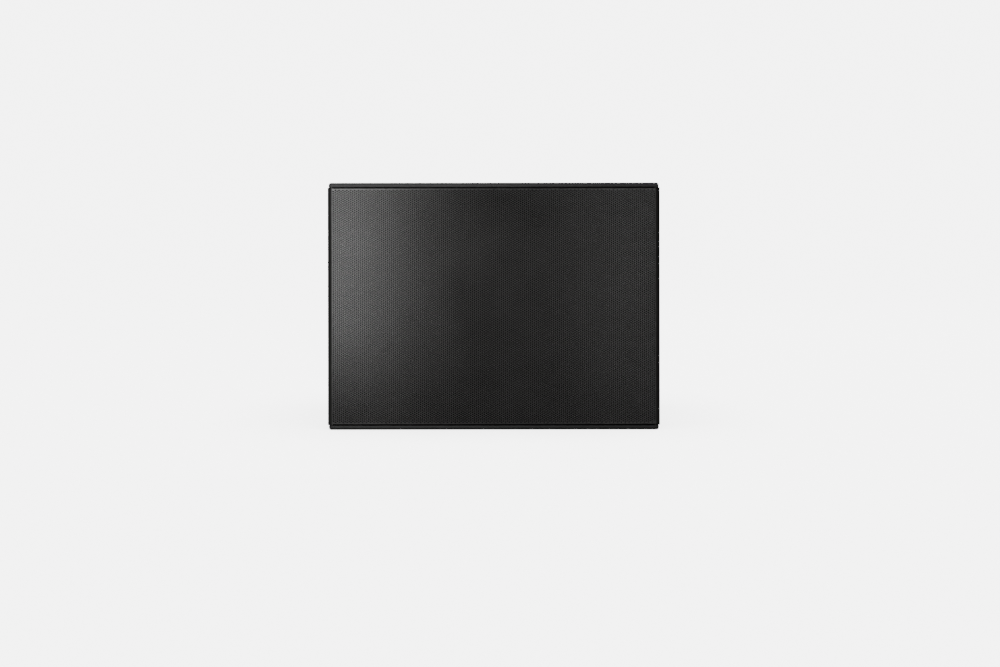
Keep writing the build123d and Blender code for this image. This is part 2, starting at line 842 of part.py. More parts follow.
# ================================================================ rear connectors
def connector_dish():
    """Pressed steel dish that keeps the plugs inside the outline."""
    outer = grown(dish_opening, dish_wall)
    floor = cabinet_depth - dish_depth
    body = rounded_slab(*dish_flange, 10, cabinet_depth, cabinet_depth + dish_wall, 0, dish_z)
    body += rounded_slab(*outer, 9, floor, cabinet_depth + 1, 0, dish_z)
    body -= rounded_slab(*dish_opening, 7, floor + dish_wall, cabinet_depth + 9, 0, dish_z)
    for side in (-1, 1):
        body -= rod_y(socket_radius + 0.3, floor - 1, floor + 3, side * socket_spacing / 2, dish_z)
    for x, z in dish_screw_places():
        body -= rod_y(small_screw_radius + thread_gap, cabinet_depth - 1, cabinet_depth + 3, x, z)
    return body


def speaker_socket(side):
    """Four-pole twist-lock socket: a round shell with a square flange, and the contact block that
    stands in its mouth, level with the dish floor."""
    floor = cabinet_depth - dish_depth + dish_wall
    x = side * socket_spacing / 2
    outer, inner, height = socket_collar
    shell = rounded_slab(socket_flange, socket_flange, 3, floor, floor + socket_plate, x, dish_z)
    shell += rod_y(socket_radius, floor - socket_length, floor + 1, x, dish_z)
    shell += rod_y(outer, floor + socket_plate - 1, floor + height, x, dish_z)
    shell -= rod_y(inner, floor - socket_mouth, floor + height + 1, x, dish_z)
    for sz in (-1, 1):
        keyway = Pos(x, floor + socket_plate, dish_z + sz * (inner + outer) / 2)
        shell -= keyway * Box(5, 9, 4)
    contacts = rod_y(socket_core, floor - socket_mouth, floor, x, dish_z)
    for n in range(4):
        turn = Pos(x, 0, dish_z) * Rot(0, 90 * n + 45, 0)
        contacts -= turn * Pos(contact_circle, floor - contact_slot[1] / 2 + 1, 0) * Box(*contact_slot)
    return group([shell, contacts])


def dish_screws():
    screw = facing_rear(button_screw(small_screw_radius, small_screw_head, 2.4, 12))
    return group(Pos(x, cabinet_depth + dish_wall, z) * screw for x, z in dish_screw_places())


# ================================================================ pole socket
def pole_frame():
    """Frame on the outer face of the bottom panel, with Z square to it and pointing inside."""
    return Pos(0, pole_y, -half_height(pole_y)) * Rot(taper, 0, 0)


def pole_socket():
    outer = pole_bore + pole_wall
    base = pole_frame() * Pos(0, 0, pole_recess)
    body = Pos(0, 0, pole_flange / 2) * Cylinder(pole_flange_radius, pole_flange)
    body += Pos(0, 0, (pole_depth + 3) / 2) * Cylinder(outer, pole_depth + 3)
    body -= Pos(0, 0, pole_depth / 2) * Cylinder(pole_bore, pole_depth)
    for x, y in pole_screw_places():
        body -= Pos(x, y, 0) * Cylinder(wood_screw_radius + thread_gap, 20)
        body -= Pos(x, y, 0) * Cylinder(wood_screw_head, 3)
    return base * body


def pole_screws():
    """Countersunk screws, flush with the flange."""
    base = pole_frame() * Pos(0, 0, pole_recess)
    head = Pos(0, 0, 0.9) * Cylinder(wood_screw_head - 0.2, 1.2)
    shank = Pos(0, 0, 7.5) * Cylinder(wood_screw_radius, 12)
    one = head + shank
    return group(base * Pos(x, y, 0) * one for x, y in pole_screw_places())


# ================================================================ handles
def hand_pocket():
    """Moulded pocket behind the right-hand handle."""
    outer = grown(pocket_size, pocket_wall)
    body = side_slab(*pocket_flange, 16, 0, pocket_wall, handle_y)
    body += side_slab(*outer, 13, -pocket_depth, 1, handle_y)
    body -= side_slab(*pocket_size, 11, pocket_wall - pocket_depth, 9, handle_y)
    for y, z, seat in side_screw_places():
        if seat == pocket_wall:
            body -= rod_x(side_screw_radius + thread_gap, side_face - 1, side_face + 5, y, z)
    return body


def handle_bar():
    """Bent steel bar across the pocket."""
    half = handle_span / 2
    foot = side_face + pocket_wall
    out = side_face + handle_rise
    bend = (out - foot) * 0.9
    path = FilletPolyline(
        (foot, handle_y - half, 0),
        (out, handle_y - half, 0),
        (out, handle_y + half, 0),
        (foot, handle_y + half, 0),
        radius=bend,
    )
    section = Plane(origin=(foot, handle_y - half, 0), z_dir=(1, 0, 0)) * Circle(handle_tube)
    return sweep(section, path=path)


def handle_grip():
    """Rubber sleeve on the handle."""
    x = side_face + handle_rise
    sleeve = Pos(x, handle_y, 0) * Rot(90, 0, 0) * Cylinder(grip_radius, grip_length)
    sleeve = fillet(sleeve.edges().filter_by(GeomType.CIRCLE), 2)
    return sleeve - Pos(x, handle_y, 0) * Rot(90, 0, 0) * Cylinder(handle_tube, grip_length + 2)


# ================================================================ rigging
def front_channel():
    """Welded steel channel that guides the front link and takes the next cabinet's link."""
    reach = front_channel_reach
    x0 = side_face
    half = front_link_width / 2 + link_play
    y0, y1 = front_link_y - half, front_link_y + half
    body = block(x0, x0 + plate, front_base_front, front_base_rear, -reach, reach)
    body += block(x0 + plate - 1, x0 + web_outer, y0 - channel_wall, y1 + channel_wall, -reach, reach)
    body -= block(x0 + plate, x0 + web_inner, y0, y1, -reach - 1, reach + 1)
    width = front_link_width - 16
    for low, high in front_channel_windows:
        window = side_slab(width, high - low, 10, web_inner - 1, web_outer + 1, front_link_y)
        body -= Pos(0, 0, (low + high) / 2) * window
    hole = pin_radius + pin_hole_gap
    body -= rod_x(hole, x0 - 1, x0 + web_outer + 1, front_link_y, front_pin_hole_z)
    body -= rod_x(hole, x0 - 1, x0 + plate + 1, *front_pin_park)
    body -= rod_x(guide_bolt_radius + thread_gap, x0 - 1, x0 + web_outer + 1, front_link_y, guide_bolt_z)
    for y, z, seat in side_screw_places():
        if seat == plate and y < handle_y:
            body -= rod_x(side_screw_radius + thread_gap, x0 - 1, x0 + plate + 1, y, z)
    return body


def rear_channel():
    """Open-backed steel channel that holds the rear link's pivot."""
    reach = rear_channel_reach
    x0 = side_face
    web_y = rear_link_y - rear_link_width / 2 - 10
    cheek_end = rear_link_y + rear_link_width / 2 + 4
    body = block(x0, x0 + plate, rear_base_front, rear_base_rear, -reach, reach)
    body += block(x0 + plate - 1, x0 + web_outer, web_y, cheek_end, -reach, reach)
    body -= block(x0 + plate, x0 + web_inner, web_y + channel_wall, cheek_end + 1, -reach - 1, reach + 1)
    window = side_slab(*rear_channel_window, 10, web_inner - 1, web_outer + 1, cheek_end - 4)
    body -= Pos(0, 0, rear_channel_window_z) * window
    hole = pin_radius + pin_hole_gap
    body -= rod_x(hole, x0 - 1, x0 + web_outer + 1, rear_link_y, rear_pin_hole_z)
    body -= rod_x(hole, x0 - 1, x0 + plate + 1, *rear_pin_park)
    body -= rod_x(pivot_radius + thread_gap, x0 - 1, x0 + web_outer + 1, rear_link_y, rear_pivot_z)
    for y, z, seat in side_screw_places():
        if seat == plate and y > handle_y:
            body -= rod_x(side_screw_radius + thread_gap, x0 - 1, x0 + plate + 1, y, z)
    return body


def front_link():
    """Flat bar that slides up out of the channel; it rests with its slot on the guide bolt."""
    half = front_link_width / 2
    top = front_link_top
    slot_low = guide_bolt_z - front_link_travel
    bottom = slot_low - half
    body = side_slab(front_link_width, top - bottom, half - 1, link_inner, link_outer, front_link_y)
    body = Pos(0, 0, (top + bottom) / 2) * body
    slot_radius = guide_bolt_radius + 0.3
    slot = side_slab(
        2 * slot_radius,
        front_link_travel + 2 * slot_radius,
        slot_radius - 0.01,
        link_inner - 1,
        link_outer + 1,
        front_link_y,
    )
    body -= Pos(0, 0, guide_bolt_z - front_link_travel / 2) * slot
    hole = pin_radius + pin_hole_gap
    return body - rod_x(hole, side_face, side_face + web_outer, front_link_y, link_hole_z())


def link_hole_z():
    return front_link_top - front_link_width / 2


def rear_link():
    """Splay bar with a row of holes, one for each angle; it hangs plumb from its pivot."""
    half = rear_link_width / 2
    last = splay_first + (splay_holes - 1) * splay_pitch
    length = last + 2 * half
    body = side_slab(rear_link_width, length, half - 1, link_inner, link_outer, 0)
    body = Pos(0, 0, half - length / 2) * body
    body -= rod_x(pivot_radius + 0.05, side_face, side_face + web_outer, 0, 0)
    for n in range(splay_holes):
        z = -(splay_first + n * splay_pitch)
        body -= rod_x(pin_radius + pin_hole_gap, side_face, side_face + web_outer, 0, z)
    return Pos(0, rear_link_y, rear_pivot_z) * Rot(taper, 0, 0) * body


def locking_pin(park):
    """Quick-release pin with a ribbed head, parked in its hole."""
    seat = side_face + plate
    head = rod_x(pin_head_radius, seat, seat + pin_head, 0, 0)
    head = fillet(head.edges().filter_by(GeomType.CIRCLE), 1.2)
    waist = ring_x(pin_head_radius + 1, pin_head_radius - 2, seat + 4, seat + 7)
    shank = rod_x(pin_radius, seat - pin_shank, seat + 1, 0, 0)
    shank = chamfer([e for e in shank.edges() if e.center().X < seat - pin_shank + 0.1], 0.8)
    return Pos(0, park[0], park[1]) * (head - waist + shank)


def ring_x(outer, inner, x0, x1):
    """A ring about a line along X through Y = Z = 0."""
    return rod_x(outer, x0, x1, 0, 0) - rod_x(inner, x0 - 1, x1 + 1, 0, 0)


def link_bolts():
    """Guide bolts of the front links and pivot bolts of the rear links."""
    x0 = side_face
    right = []
    for radius, y, z in (
        (guide_bolt_radius, front_link_y, guide_bolt_z),
        (pivot_radius, rear_link_y, rear_pivot_z),
    ):
        bolt = rod_x(radius, x0 + 0.2, x0 + web_outer + 1, y, z)
        head = rod_x(link_head_radius, x0 + web_outer, x0 + web_outer + link_head, y, z)
        head = fillet([e for e in head.edges() if e.center().X > x0 + web_outer + link_head - 0.1], 1.5)
        socket = Rot(0, 90, 0) * extrude(RegularPolygon(link_head_socket, 6), link_head)
        right.append(bolt + head - Pos(x0 + web_outer + link_head / 2, y, z) * socket)
    return group(right + [mirrored(b) for b in right])


def side_screws():
    """Screws of the rigging channels and the hand pockets."""
    screw = button_screw(side_screw_radius, side_screw_head, 3.3, 11 + plate)
    right = [Pos(side_face + seat, y, z) * screw for y, z, seat in side_screw_places()]
    return group(right + [mirrored(s) for s in right])


# ================================================================ wiring
wire_radius = 3
wire_routes = {
    "input": [
        (-30, 383.5, -40), (-34, 362, -44), (-52, 346, -58), (-78, 326, -80), (-100, 306, -104),
        (-110, 290, -132),
    ],
    "woofer": [
        (-205, 240, -150), (-208, 222, -138), (-206, 204, -120), (-200, 188, -98), (-190, 168, -84),
        (-178, 146, -82),
    ],
    "tweeter": [
        (-76, 240, -152), (-58, 248, -142), (-24, 262, -118), (16, 272, -84), (56, 270, -48),
        (86, 262, -22), (106, 254, -8),
    ],
}


def arc_radii(points):
    """The radius of each bend, as large as its two runs allow."""
    radii = []
    for a, b, c in zip(points, points[1:], points[2:]):
        before, after = Vector(*b) - Vector(*a), Vector(*c) - Vector(*b)
        turn = radians(before.get_angle(after))
        radii.append(0.45 * min(before.length, after.length) / tan(turn / 2))
    return radii


def inner_wiring():
    """Two-core leads from the sockets to the crossover and from there to the two drivers."""
    leads = []
    for points in wire_routes.values():
        path = FilletPolyline(*points, radius=arc_radii(points))
        start = Plane(origin=points[0], z_dir=Vector(*points[1]) - Vector(*points[0]))
        leads.append(sweep(start * Circle(wire_radius), path=path))
    return group(leads)


# ================================================================ the assembly
def pair(name, shape):
    """Right-hand piece and its mirror image."""
    return {f"{name}_right": shape, f"{name}_left": mirrored(shape)}


def assembly():
    pieces = {
        "top_panel": top_panel(),
        "bottom_panel": bottom_panel(),
        "rear_panel": rear_panel(),
        "front_baffle": front_baffle(),
        "inner_brace": inner_brace(),
        "port_tubes": port_tubes(),
        "front_grille": front_grille(),
        "grille_foam": grille_foam(),
        "grille_screws": grille_screws(),
        "woofer_frame": woofer_frame(),
        "woofer_top_plate": woofer_top_plate(),
        "woofer_magnet": woofer_magnet(),
        "woofer_back_plate": woofer_back_plate(),
        "woofer_cone": woofer_cone(),
        "woofer_dust_cap": woofer_dust_cap(),
        "woofer_voice_coil": woofer_voice_coil(),
        "woofer_surround": woofer_surround(),
        "woofer_spider": woofer_spider(),
        "driver_screws": driver_screws(),
        "horn": horn(),
        "throat_manifold": throat_manifold(),
        "tweeter_front_plate": driver_front_plate(),
        "tweeter_magnet": driver_magnet_ring(),
        "tweeter_diaphragm": driver_diaphragm(),
        "tweeter_cover": driver_rear_cover(),
        "crossover_board": crossover_board(),
        "crossover_spacers": crossover_spacers(),
        "crossover_coils": crossover_coils(),
        "crossover_capacitors": crossover_capacitors(),
        "inner_wiring": inner_wiring(),
        "wadding_top": wadding_top(),
        "wadding_rear": wadding_rear(),
        "connector_dish": connector_dish(),
        "speaker_socket_in": speaker_socket(-1),
        "speaker_socket_link": speaker_socket(1),
        "dish_screws": dish_screws(),
        "pole_socket": pole_socket(),
        "pole_screws": pole_screws(),
        "link_bolts": link_bolts(),
        "side_screws": side_screws(),
    }
    pieces.update(pair("side_panel", side_panel()))
    pieces.update(pair("hand_pocket", hand_pocket()))
    pieces.update(pair("handle_bar", handle_bar()))
    pieces.update(pair("handle_grip", handle_grip()))
    pieces.update(pair("front_channel", front_channel()))
    pieces.update(pair("rear_channel", rear_channel()))
    pieces.update(pair("front_link", front_link()))
    pieces.update(pair("rear_link", rear_link()))
    pieces.update(pair("front_pin", locking_pin(front_pin_park)))
    pieces.update(pair("rear_pin", locking_pin(rear_pin_park)))
    return pieces


def main():
    os.makedirs("parts", exist_ok=True)
    for name, shape in assembly().items():
        export_step(place_on_floor(shape), f"parts/{name}.step")


if __name__ == "__main__":
    main()
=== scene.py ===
# %% [markdown]
# # A line array loudspeaker
# This script dresses an engineering model. The cabinet, the rigging and the screws come from
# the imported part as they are; the pieces that need a finer shape, such as the perforated
# grille, are built here and stand in for the plain ones. Lengths are in metres.

# %% Load the frame
import json
from math import cos, pi, radians, sin, sqrt

import bmesh
import bpy
import numpy as np
from mathutils import Matrix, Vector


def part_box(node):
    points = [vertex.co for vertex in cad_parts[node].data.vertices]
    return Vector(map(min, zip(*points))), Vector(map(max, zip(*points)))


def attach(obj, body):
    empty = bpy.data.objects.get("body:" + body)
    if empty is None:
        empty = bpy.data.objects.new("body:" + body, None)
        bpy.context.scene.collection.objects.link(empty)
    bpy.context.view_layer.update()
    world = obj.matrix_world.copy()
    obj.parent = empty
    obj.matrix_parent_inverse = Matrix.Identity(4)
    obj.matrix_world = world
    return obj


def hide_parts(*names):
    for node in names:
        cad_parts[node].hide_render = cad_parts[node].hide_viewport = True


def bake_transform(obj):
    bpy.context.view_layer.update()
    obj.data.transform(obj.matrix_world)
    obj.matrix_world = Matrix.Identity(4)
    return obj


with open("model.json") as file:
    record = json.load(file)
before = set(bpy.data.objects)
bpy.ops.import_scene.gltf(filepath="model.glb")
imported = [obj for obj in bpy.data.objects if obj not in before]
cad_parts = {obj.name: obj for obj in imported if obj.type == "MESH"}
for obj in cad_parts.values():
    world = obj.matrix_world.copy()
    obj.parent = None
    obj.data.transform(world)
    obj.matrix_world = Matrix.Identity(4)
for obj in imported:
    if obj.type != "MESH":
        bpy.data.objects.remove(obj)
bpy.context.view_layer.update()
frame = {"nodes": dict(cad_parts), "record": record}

# %% [markdown]
# ## The cabinet's own frame
# The cabinet is a wedge that stands on its sloping bottom panel, so its front leans back by
# the slope. Every piece here is first laid out square to the front (x to the right, y to the
# rear, z up along the front) and then tipped back by `stand`.

# %% Sizes shared with the engineering model
MM = 0.001
TAPER = radians(5)
FRONT_WIDTH = 596 * MM
FRONT_HEIGHT = 444 * MM
GRILLE_HALF = 213 * MM        # half the height of the grille
SHEET_FRONT = 2.0 * MM        # front and back of its sheet, behind the front edges of the cabinet
SHEET_BACK = 3.5 * MM
LIFT = FRONT_HEIGHT / 2 * cos(TAPER)
LOWEST_OF_GRILLE = SHEET_FRONT * cos(TAPER) - GRILLE_HALF * sin(TAPER)
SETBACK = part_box("front_grille")[0].y - LOWEST_OF_GRILLE


def stand(points):
    """Points in the cabinet's frame, as rows, tipped back to where the standing cabinet has them:
    y' = y cos t + z sin t + setback, z' = z cos t - y sin t + lift."""
    points = np.asarray(points, float)
    x, y, z = points[:, 0], points[:, 1], points[:, 2]
    back = y * cos(TAPER) + z * sin(TAPER) + SETBACK
    up = z * cos(TAPER) - y * sin(TAPER) + LIFT
    return np.column_stack([x, back, up])


def half_height(y, inset=0.0):
    """Height of the sloping top plane over the centre line, inset square to it."""
    return FRONT_HEIGHT / 2 - y * np.tan(TAPER) - inset / cos(TAPER)


print("setback", round(SETBACK, 5), "lift", round(LIFT, 5))

# %% [markdown]
# ## Small mesh tools
# Each piece is worked out as whole arrays of points and handed to Blender in one go. A loop
# over single vertices would do the same, only slowly and with more to go wrong.

# %% Mesh tools
def new_object(name, points, faces, body, material, slot, smooth=False):
    """A mesh object from points in the cabinet's frame and faces, riding on a body of the part
    if one is named."""
    mesh = bpy.data.meshes.new(name)
    mesh.from_pydata(stand(points).tolist(), [], [list(f) for f in faces])
    mesh.validate()
    if smooth:
        mesh.shade_smooth()
    mesh.materials.append(material)
    obj = bpy.data.objects.new(name, mesh)
    bpy.context.scene.collection.objects.link(obj)
    if body:
        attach(obj, body)
    return obj


def grid_faces(rows, columns, closed_rows=False):
    """Quads of a grid whose columns wrap round; with closed_rows its last row joins the first."""
    i = np.arange(rows if closed_rows else rows - 1)[:, None]
    j = np.arange(columns)[None, :]
    a = i * columns + j
    b = i * columns + (j + 1) % columns
    c = ((i + 1) % rows) * columns + (j + 1) % columns
    d = ((i + 1) % rows) * columns + j
    return np.stack([a, b, c, d], axis=-1).reshape(-1, 4)


def turned_grid(profile, centre, steps):
    """A closed profile turned round an axis along y. profile holds rows (radius, distance along
    the axis); point i, j is centre + (r_i cos a_j, d_i, r_i sin a_j), with a_j = 2 pi j / steps."""
    profile = np.asarray(profile, float)
    angle = np.arange(steps) * 2 * pi / steps
    across = np.outer(profile[:, 0], np.cos(angle))
    up = np.outer(profile[:, 0], np.sin(angle))
    along = np.repeat(profile[:, 1:2], steps, axis=1)
    points = np.stack([across, along, up], axis=-1).reshape(-1, 3) + np.asarray(centre, float)
    return points, grid_faces(len(profile), steps, closed_rows=True)


def face_outward(obj):
    """Merges points that coincide and turns every face outwards."""
    work = bmesh.new()
    work.from_mesh(obj.data)
    bmesh.ops.remove_doubles(work, verts=work.verts, dist=1e-7)
    bmesh.ops.recalc_face_normals(work, faces=work.faces)
    work.to_mesh(obj.data)
    work.free()
    return obj


# %% [markdown]
# ## Shared shader parts
# A finish is mostly three things: a colour that is never quite even, a roughness that follows
# it, and a surface that isn't quite flat. The three are the same for paint, rubber or metal and
# only differ in size, so they live in node groups that the finishes share. Each group hands
# back a mask or a normal; the surface itself stays in the finish.

# %% Node groups
def new_group(name, inputs, outputs):
    """An empty node group with named sockets; inputs are (name, kind, default)."""
    group = bpy.data.node_groups.new(name, "ShaderNodeTree")
    for title, kind, default in inputs:
        socket = group.interface.new_socket(title, in_out="INPUT", socket_type=kind)
        if default is not None:
            socket.default_value = default
    for title, kind in outputs:
        group.interface.new_socket(title, in_out="OUTPUT", socket_type=kind)
    start = group.nodes.new("NodeGroupInput")
    end = group.nodes.new("NodeGroupOutput")
    return group, start, end


def add(tree, kind, settings=None, **values):
    """A node with its properties set and its sockets given a constant or a link."""
    node = tree.nodes.new(kind)
    for key, value in (settings or {}).items():
        setattr(node, key, value)
    for key, value in values.items():
        socket = node.inputs[key.replace("_", " ")]
        if isinstance(value, bpy.types.NodeSocket):
            tree.links.new(value, socket)
        else:
            socket.default_value = value
    return node


def math_node(tree, operation, first, second=None, clamp=False):
    """One arithmetic step on two values."""
    node = tree.nodes.new("ShaderNodeMath")
    node.operation = operation
    node.use_clamp = clamp
    for socket, value in zip(node.inputs, (first, second)):
        if isinstance(value, bpy.types.NodeSocket):
            tree.links.new(value, socket)
        elif value is not None:
            socket.default_value = value
    return node.outputs[0]


FLOAT, VECTOR = "NodeSocketFloat", "NodeSocketVector"
LEAST_DUST = 0.08             # share of the dust that clings to faces that don't look up
WEAR_SIZE = 1 / 90            # size of the patches that break up a rubbed edge
WEAR_GAIN = 9.0
WEAR_START = 0.35


def make_grain():
    """Coat grain: bumps of a chosen size, as a normal, with the same bumps as a mask."""
    group, start, end = new_group(
        "Grain",
        [("Size", FLOAT, 0.001), ("Height", FLOAT, 0.0001), ("Sharpness", FLOAT, 0.5)],
        [("Mask", FLOAT), ("Normal", VECTOR)],
    )
    place = add(group, "ShaderNodeTexCoord").outputs["Object"]
    scale = math_node(group, "DIVIDE", 1.0, start.outputs["Size"])
    noise = add(group, "ShaderNodeTexNoise", Vector=place, Scale=scale, Detail=2.0,
                Roughness=start.outputs["Sharpness"])
    bump = add(group, "ShaderNodeBump", Strength=1.0, Distance=start.outputs["Height"],
               Height=noise.outputs["Fac"])
    group.links.new(noise.outputs["Fac"], end.inputs["Mask"])
    group.links.new(bump.outputs["Normal"], end.inputs["Normal"])
    return group


def make_blotch():
    """Wide, soft unevenness, for hand marks and thin spots in a coat."""
    group, start, end = new_group(
        "Blotch", [("Size", FLOAT, 0.08), ("Contrast", FLOAT, 1.0)], [("Mask", FLOAT)]
    )
    place = add(group, "ShaderNodeTexCoord").outputs["Object"]
    scale = math_node(group, "DIVIDE", 1.0, start.outputs["Size"])
    noise = add(group, "ShaderNodeTexNoise", Vector=place, Scale=scale, Detail=4.0)
    centred = math_node(group, "SUBTRACT", noise.outputs["Fac"], 0.5)
    widened = math_node(group, "MULTIPLY", centred, start.outputs["Contrast"])
    result = math_node(group, "ADD", widened, 0.5, clamp=True)
    group.links.new(result, end.inputs["Mask"])
    return group


def make_dust():
    """Settled dust: most on faces that look up, broken into patches."""
    group, start, end = new_group(
        "Dust", [("Amount", FLOAT, 0.2), ("Size", FLOAT, 0.03)], [("Mask", FLOAT)]
    )
    place = add(group, "ShaderNodeTexCoord").outputs["Object"]
    scale = math_node(group, "DIVIDE", 1.0, start.outputs["Size"])
    patches = add(group, "ShaderNodeTexNoise", Vector=place, Scale=scale, Detail=6.0, Roughness=0.7)
    normal = add(group, "ShaderNodeNewGeometry").outputs["Normal"]
    upward = add(group, "ShaderNodeSeparateXYZ", Vector=normal).outputs["Z"]
    facing = math_node(group, "MAXIMUM", upward, LEAST_DUST)
    both = math_node(group, "MULTIPLY", facing, patches.outputs["Fac"])
    result = math_node(group, "MULTIPLY", both, start.outputs["Amount"], clamp=True)
    group.links.new(result, end.inputs["Mask"])
    return group


def make_wear():
    """Rubbed edges: where the rounded-over normal leaves the true one, broken by noise."""
    group, start, end = new_group(
        "Edge wear", [("Reach", FLOAT, 0.0012), ("Amount", FLOAT, 1.0)], [("Mask", FLOAT)]
    )
    rounded = add(group, "ShaderNodeBevel", {"samples": 4}, Radius=start.outputs["Reach"])
    plain = add(group, "ShaderNodeNewGeometry").outputs["Normal"]
    likeness = add(group, "ShaderNodeVectorMath", {"operation": "DOT_PRODUCT"})
    group.links.new(rounded.outputs["Normal"], likeness.inputs[0])
    group.links.new(plain, likeness.inputs[1])
    edge = math_node(group, "SUBTRACT", 1.0, likeness.outputs["Value"])
    place = add(group, "ShaderNodeTexCoord").outputs["Object"]
    noise = add(group, "ShaderNodeTexNoise", Vector=place, Scale=1 / WEAR_SIZE, Detail=5.0,
                Roughness=0.7)
    patches = math_node(group, "MULTIPLY", noise.outputs["Fac"], WEAR_GAIN)
    broken = math_node(group, "MULTIPLY", edge, patches)
    cut = math_node(group, "SUBTRACT", broken, WEAR_START, clamp=True)
    result = math_node(group, "MULTIPLY", cut, start.outputs["Amount"], clamp=True)
    group.links.new(result, end.inputs["Mask"])
    return group


def make_brushed():
    """Fine lines along one direction; Stretch scales the coordinates, small along the lines."""
    group, start, end = new_group(
        "Brushed",
        [("Stretch", VECTOR, (900.0, 900.0, 20.0)), ("Height", FLOAT, 0.00002)],
        [("Mask", FLOAT), ("Normal", VECTOR)],
    )
    place = add(group, "ShaderNodeTexCoord").outputs["Object"]
    pulled = add(group, "ShaderNodeVectorMath", {"operation": "MULTIPLY"})
    group.links.new(place, pulled.inputs[0])
    group.links.new(start.outputs["Stretch"], pulled.inputs[1])
    noise = add(group, "ShaderNodeTexNoise", Vector=pulled.outputs["Vector"], Scale=1.0, Detail=3.0)
    bump = add(group, "ShaderNodeBump", Strength=1.0, Distance=start.outputs["Height"],
               Height=noise.outputs["Fac"])
    group.links.new(noise.outputs["Fac"], end.inputs["Mask"])
    group.links.new(bump.outputs["Normal"], end.inputs["Normal"])
    return group


GRAIN = make_grain()
BLOTCH = make_blotch()
DUST = make_dust()
WEAR = make_wear()
BRUSHED = make_brushed()
print("node groups", [g.name for g in (GRAIN, BLOTCH, DUST, WEAR, BRUSHED)])

# %% [markdown]
# ## Finishes
# One function builds every finish from the shared parts: two colours mixed by a grain and a
# blotch, a roughness that goes the same way, dust on top, and bare metal at rubbed edges where
# the real piece has them. Separate materials copied by hand would drift apart.

# %% Finishes
def use(tree, group, **values):
    """A node group placed in a material."""
    node = tree.nodes.new("ShaderNodeGroup")
    node.node_tree = group
    for key, value in values.items():
        node.inputs[key].default_value = value
    return node


def mix_colour(tree, factor, first, second):
    """A mix of two colours, each a constant or a link."""
    node = tree.nodes.new("ShaderNodeMix")
    node.data_type = "RGBA"
    tree.links.new(factor, node.inputs["Factor"])
    for name, value in (("A", first), ("B", second)):
        socket = next(s for s in node.inputs if s.name == name and s.type == "RGBA")
        if isinstance(value, bpy.types.NodeSocket):
            tree.links.new(value, socket)
        else:
            socket.default_value = (*value, 1.0)
    return next(s for s in node.outputs if s.type == "RGBA")


def spread(tree, value, low, high):
    """A mask from 0 to 1 stretched to a range."""
    node = tree.nodes.new("ShaderNodeMapRange")
    tree.links.new(value, node.inputs["Value"])
    node.inputs["To Min"].default_value = low
    node.inputs["To Max"].default_value = high
    return node.outputs["Result"]


DUST_COLOUR = (0.32, 0.30, 0.27)
DUST_SIZE = 20 * MM
PATCH_SIZE = 80 * MM          # size of the wide unevenness of a coat
PATCH_CONTRAST = 2.0


def finish(name, dark, light, roughness, grain=0.001, height=0.00005, metallic=0.0, dust=0.05,
           bare=None, wear=0.0, stretch=None, specular=0.5, sharpness=0.5):
    """A finish: colours from dark to light, roughness (low, high), grain size and height, and
    the colour of the bare metal at rubbed edges. With stretch the grain is brushed instead."""
    made = bpy.data.materials.new(name)
    made.use_nodes = True
    tree = made.node_tree
    surface = tree.nodes["Principled BSDF"]
    if stretch:
        texture = use(tree, BRUSHED, Stretch=stretch, Height=height)
    else:
        texture = use(tree, GRAIN, Size=grain, Height=height, Sharpness=sharpness)
    blotch = use(tree, BLOTCH, Size=PATCH_SIZE, Contrast=PATCH_CONTRAST)
    fine = math_node(tree, "MULTIPLY", texture.outputs["Mask"], 0.5)
    wide = math_node(tree, "MULTIPLY", blotch.outputs["Mask"], 0.5)
    mask = math_node(tree, "ADD", fine, wide)
    colour = mix_colour(tree, mask, dark, light)
    settled = use(tree, DUST, Amount=dust, Size=DUST_SIZE)
    colour = mix_colour(tree, settled.outputs["Mask"], colour, DUST_COLOUR)
    rough = spread(tree, mask, *roughness)
    if bare:
        rubbed = use(tree, WEAR, Amount=wear)
        colour = mix_colour(tree, rubbed.outputs["Mask"], colour, bare)
        tree.links.new(spread(tree, rubbed.outputs["Mask"], metallic, 1.0), surface.inputs["Metallic"])
    else:
        surface.inputs["Metallic"].default_value = metallic
    tree.links.new(colour, surface.inputs["Base Color"])
    tree.links.new(rough, surface.inputs["Roughness"])
    tree.links.new(texture.outputs["Normal"], surface.inputs["Normal"])
    surface.inputs["Specular IOR Level"].default_value = specular
    return made


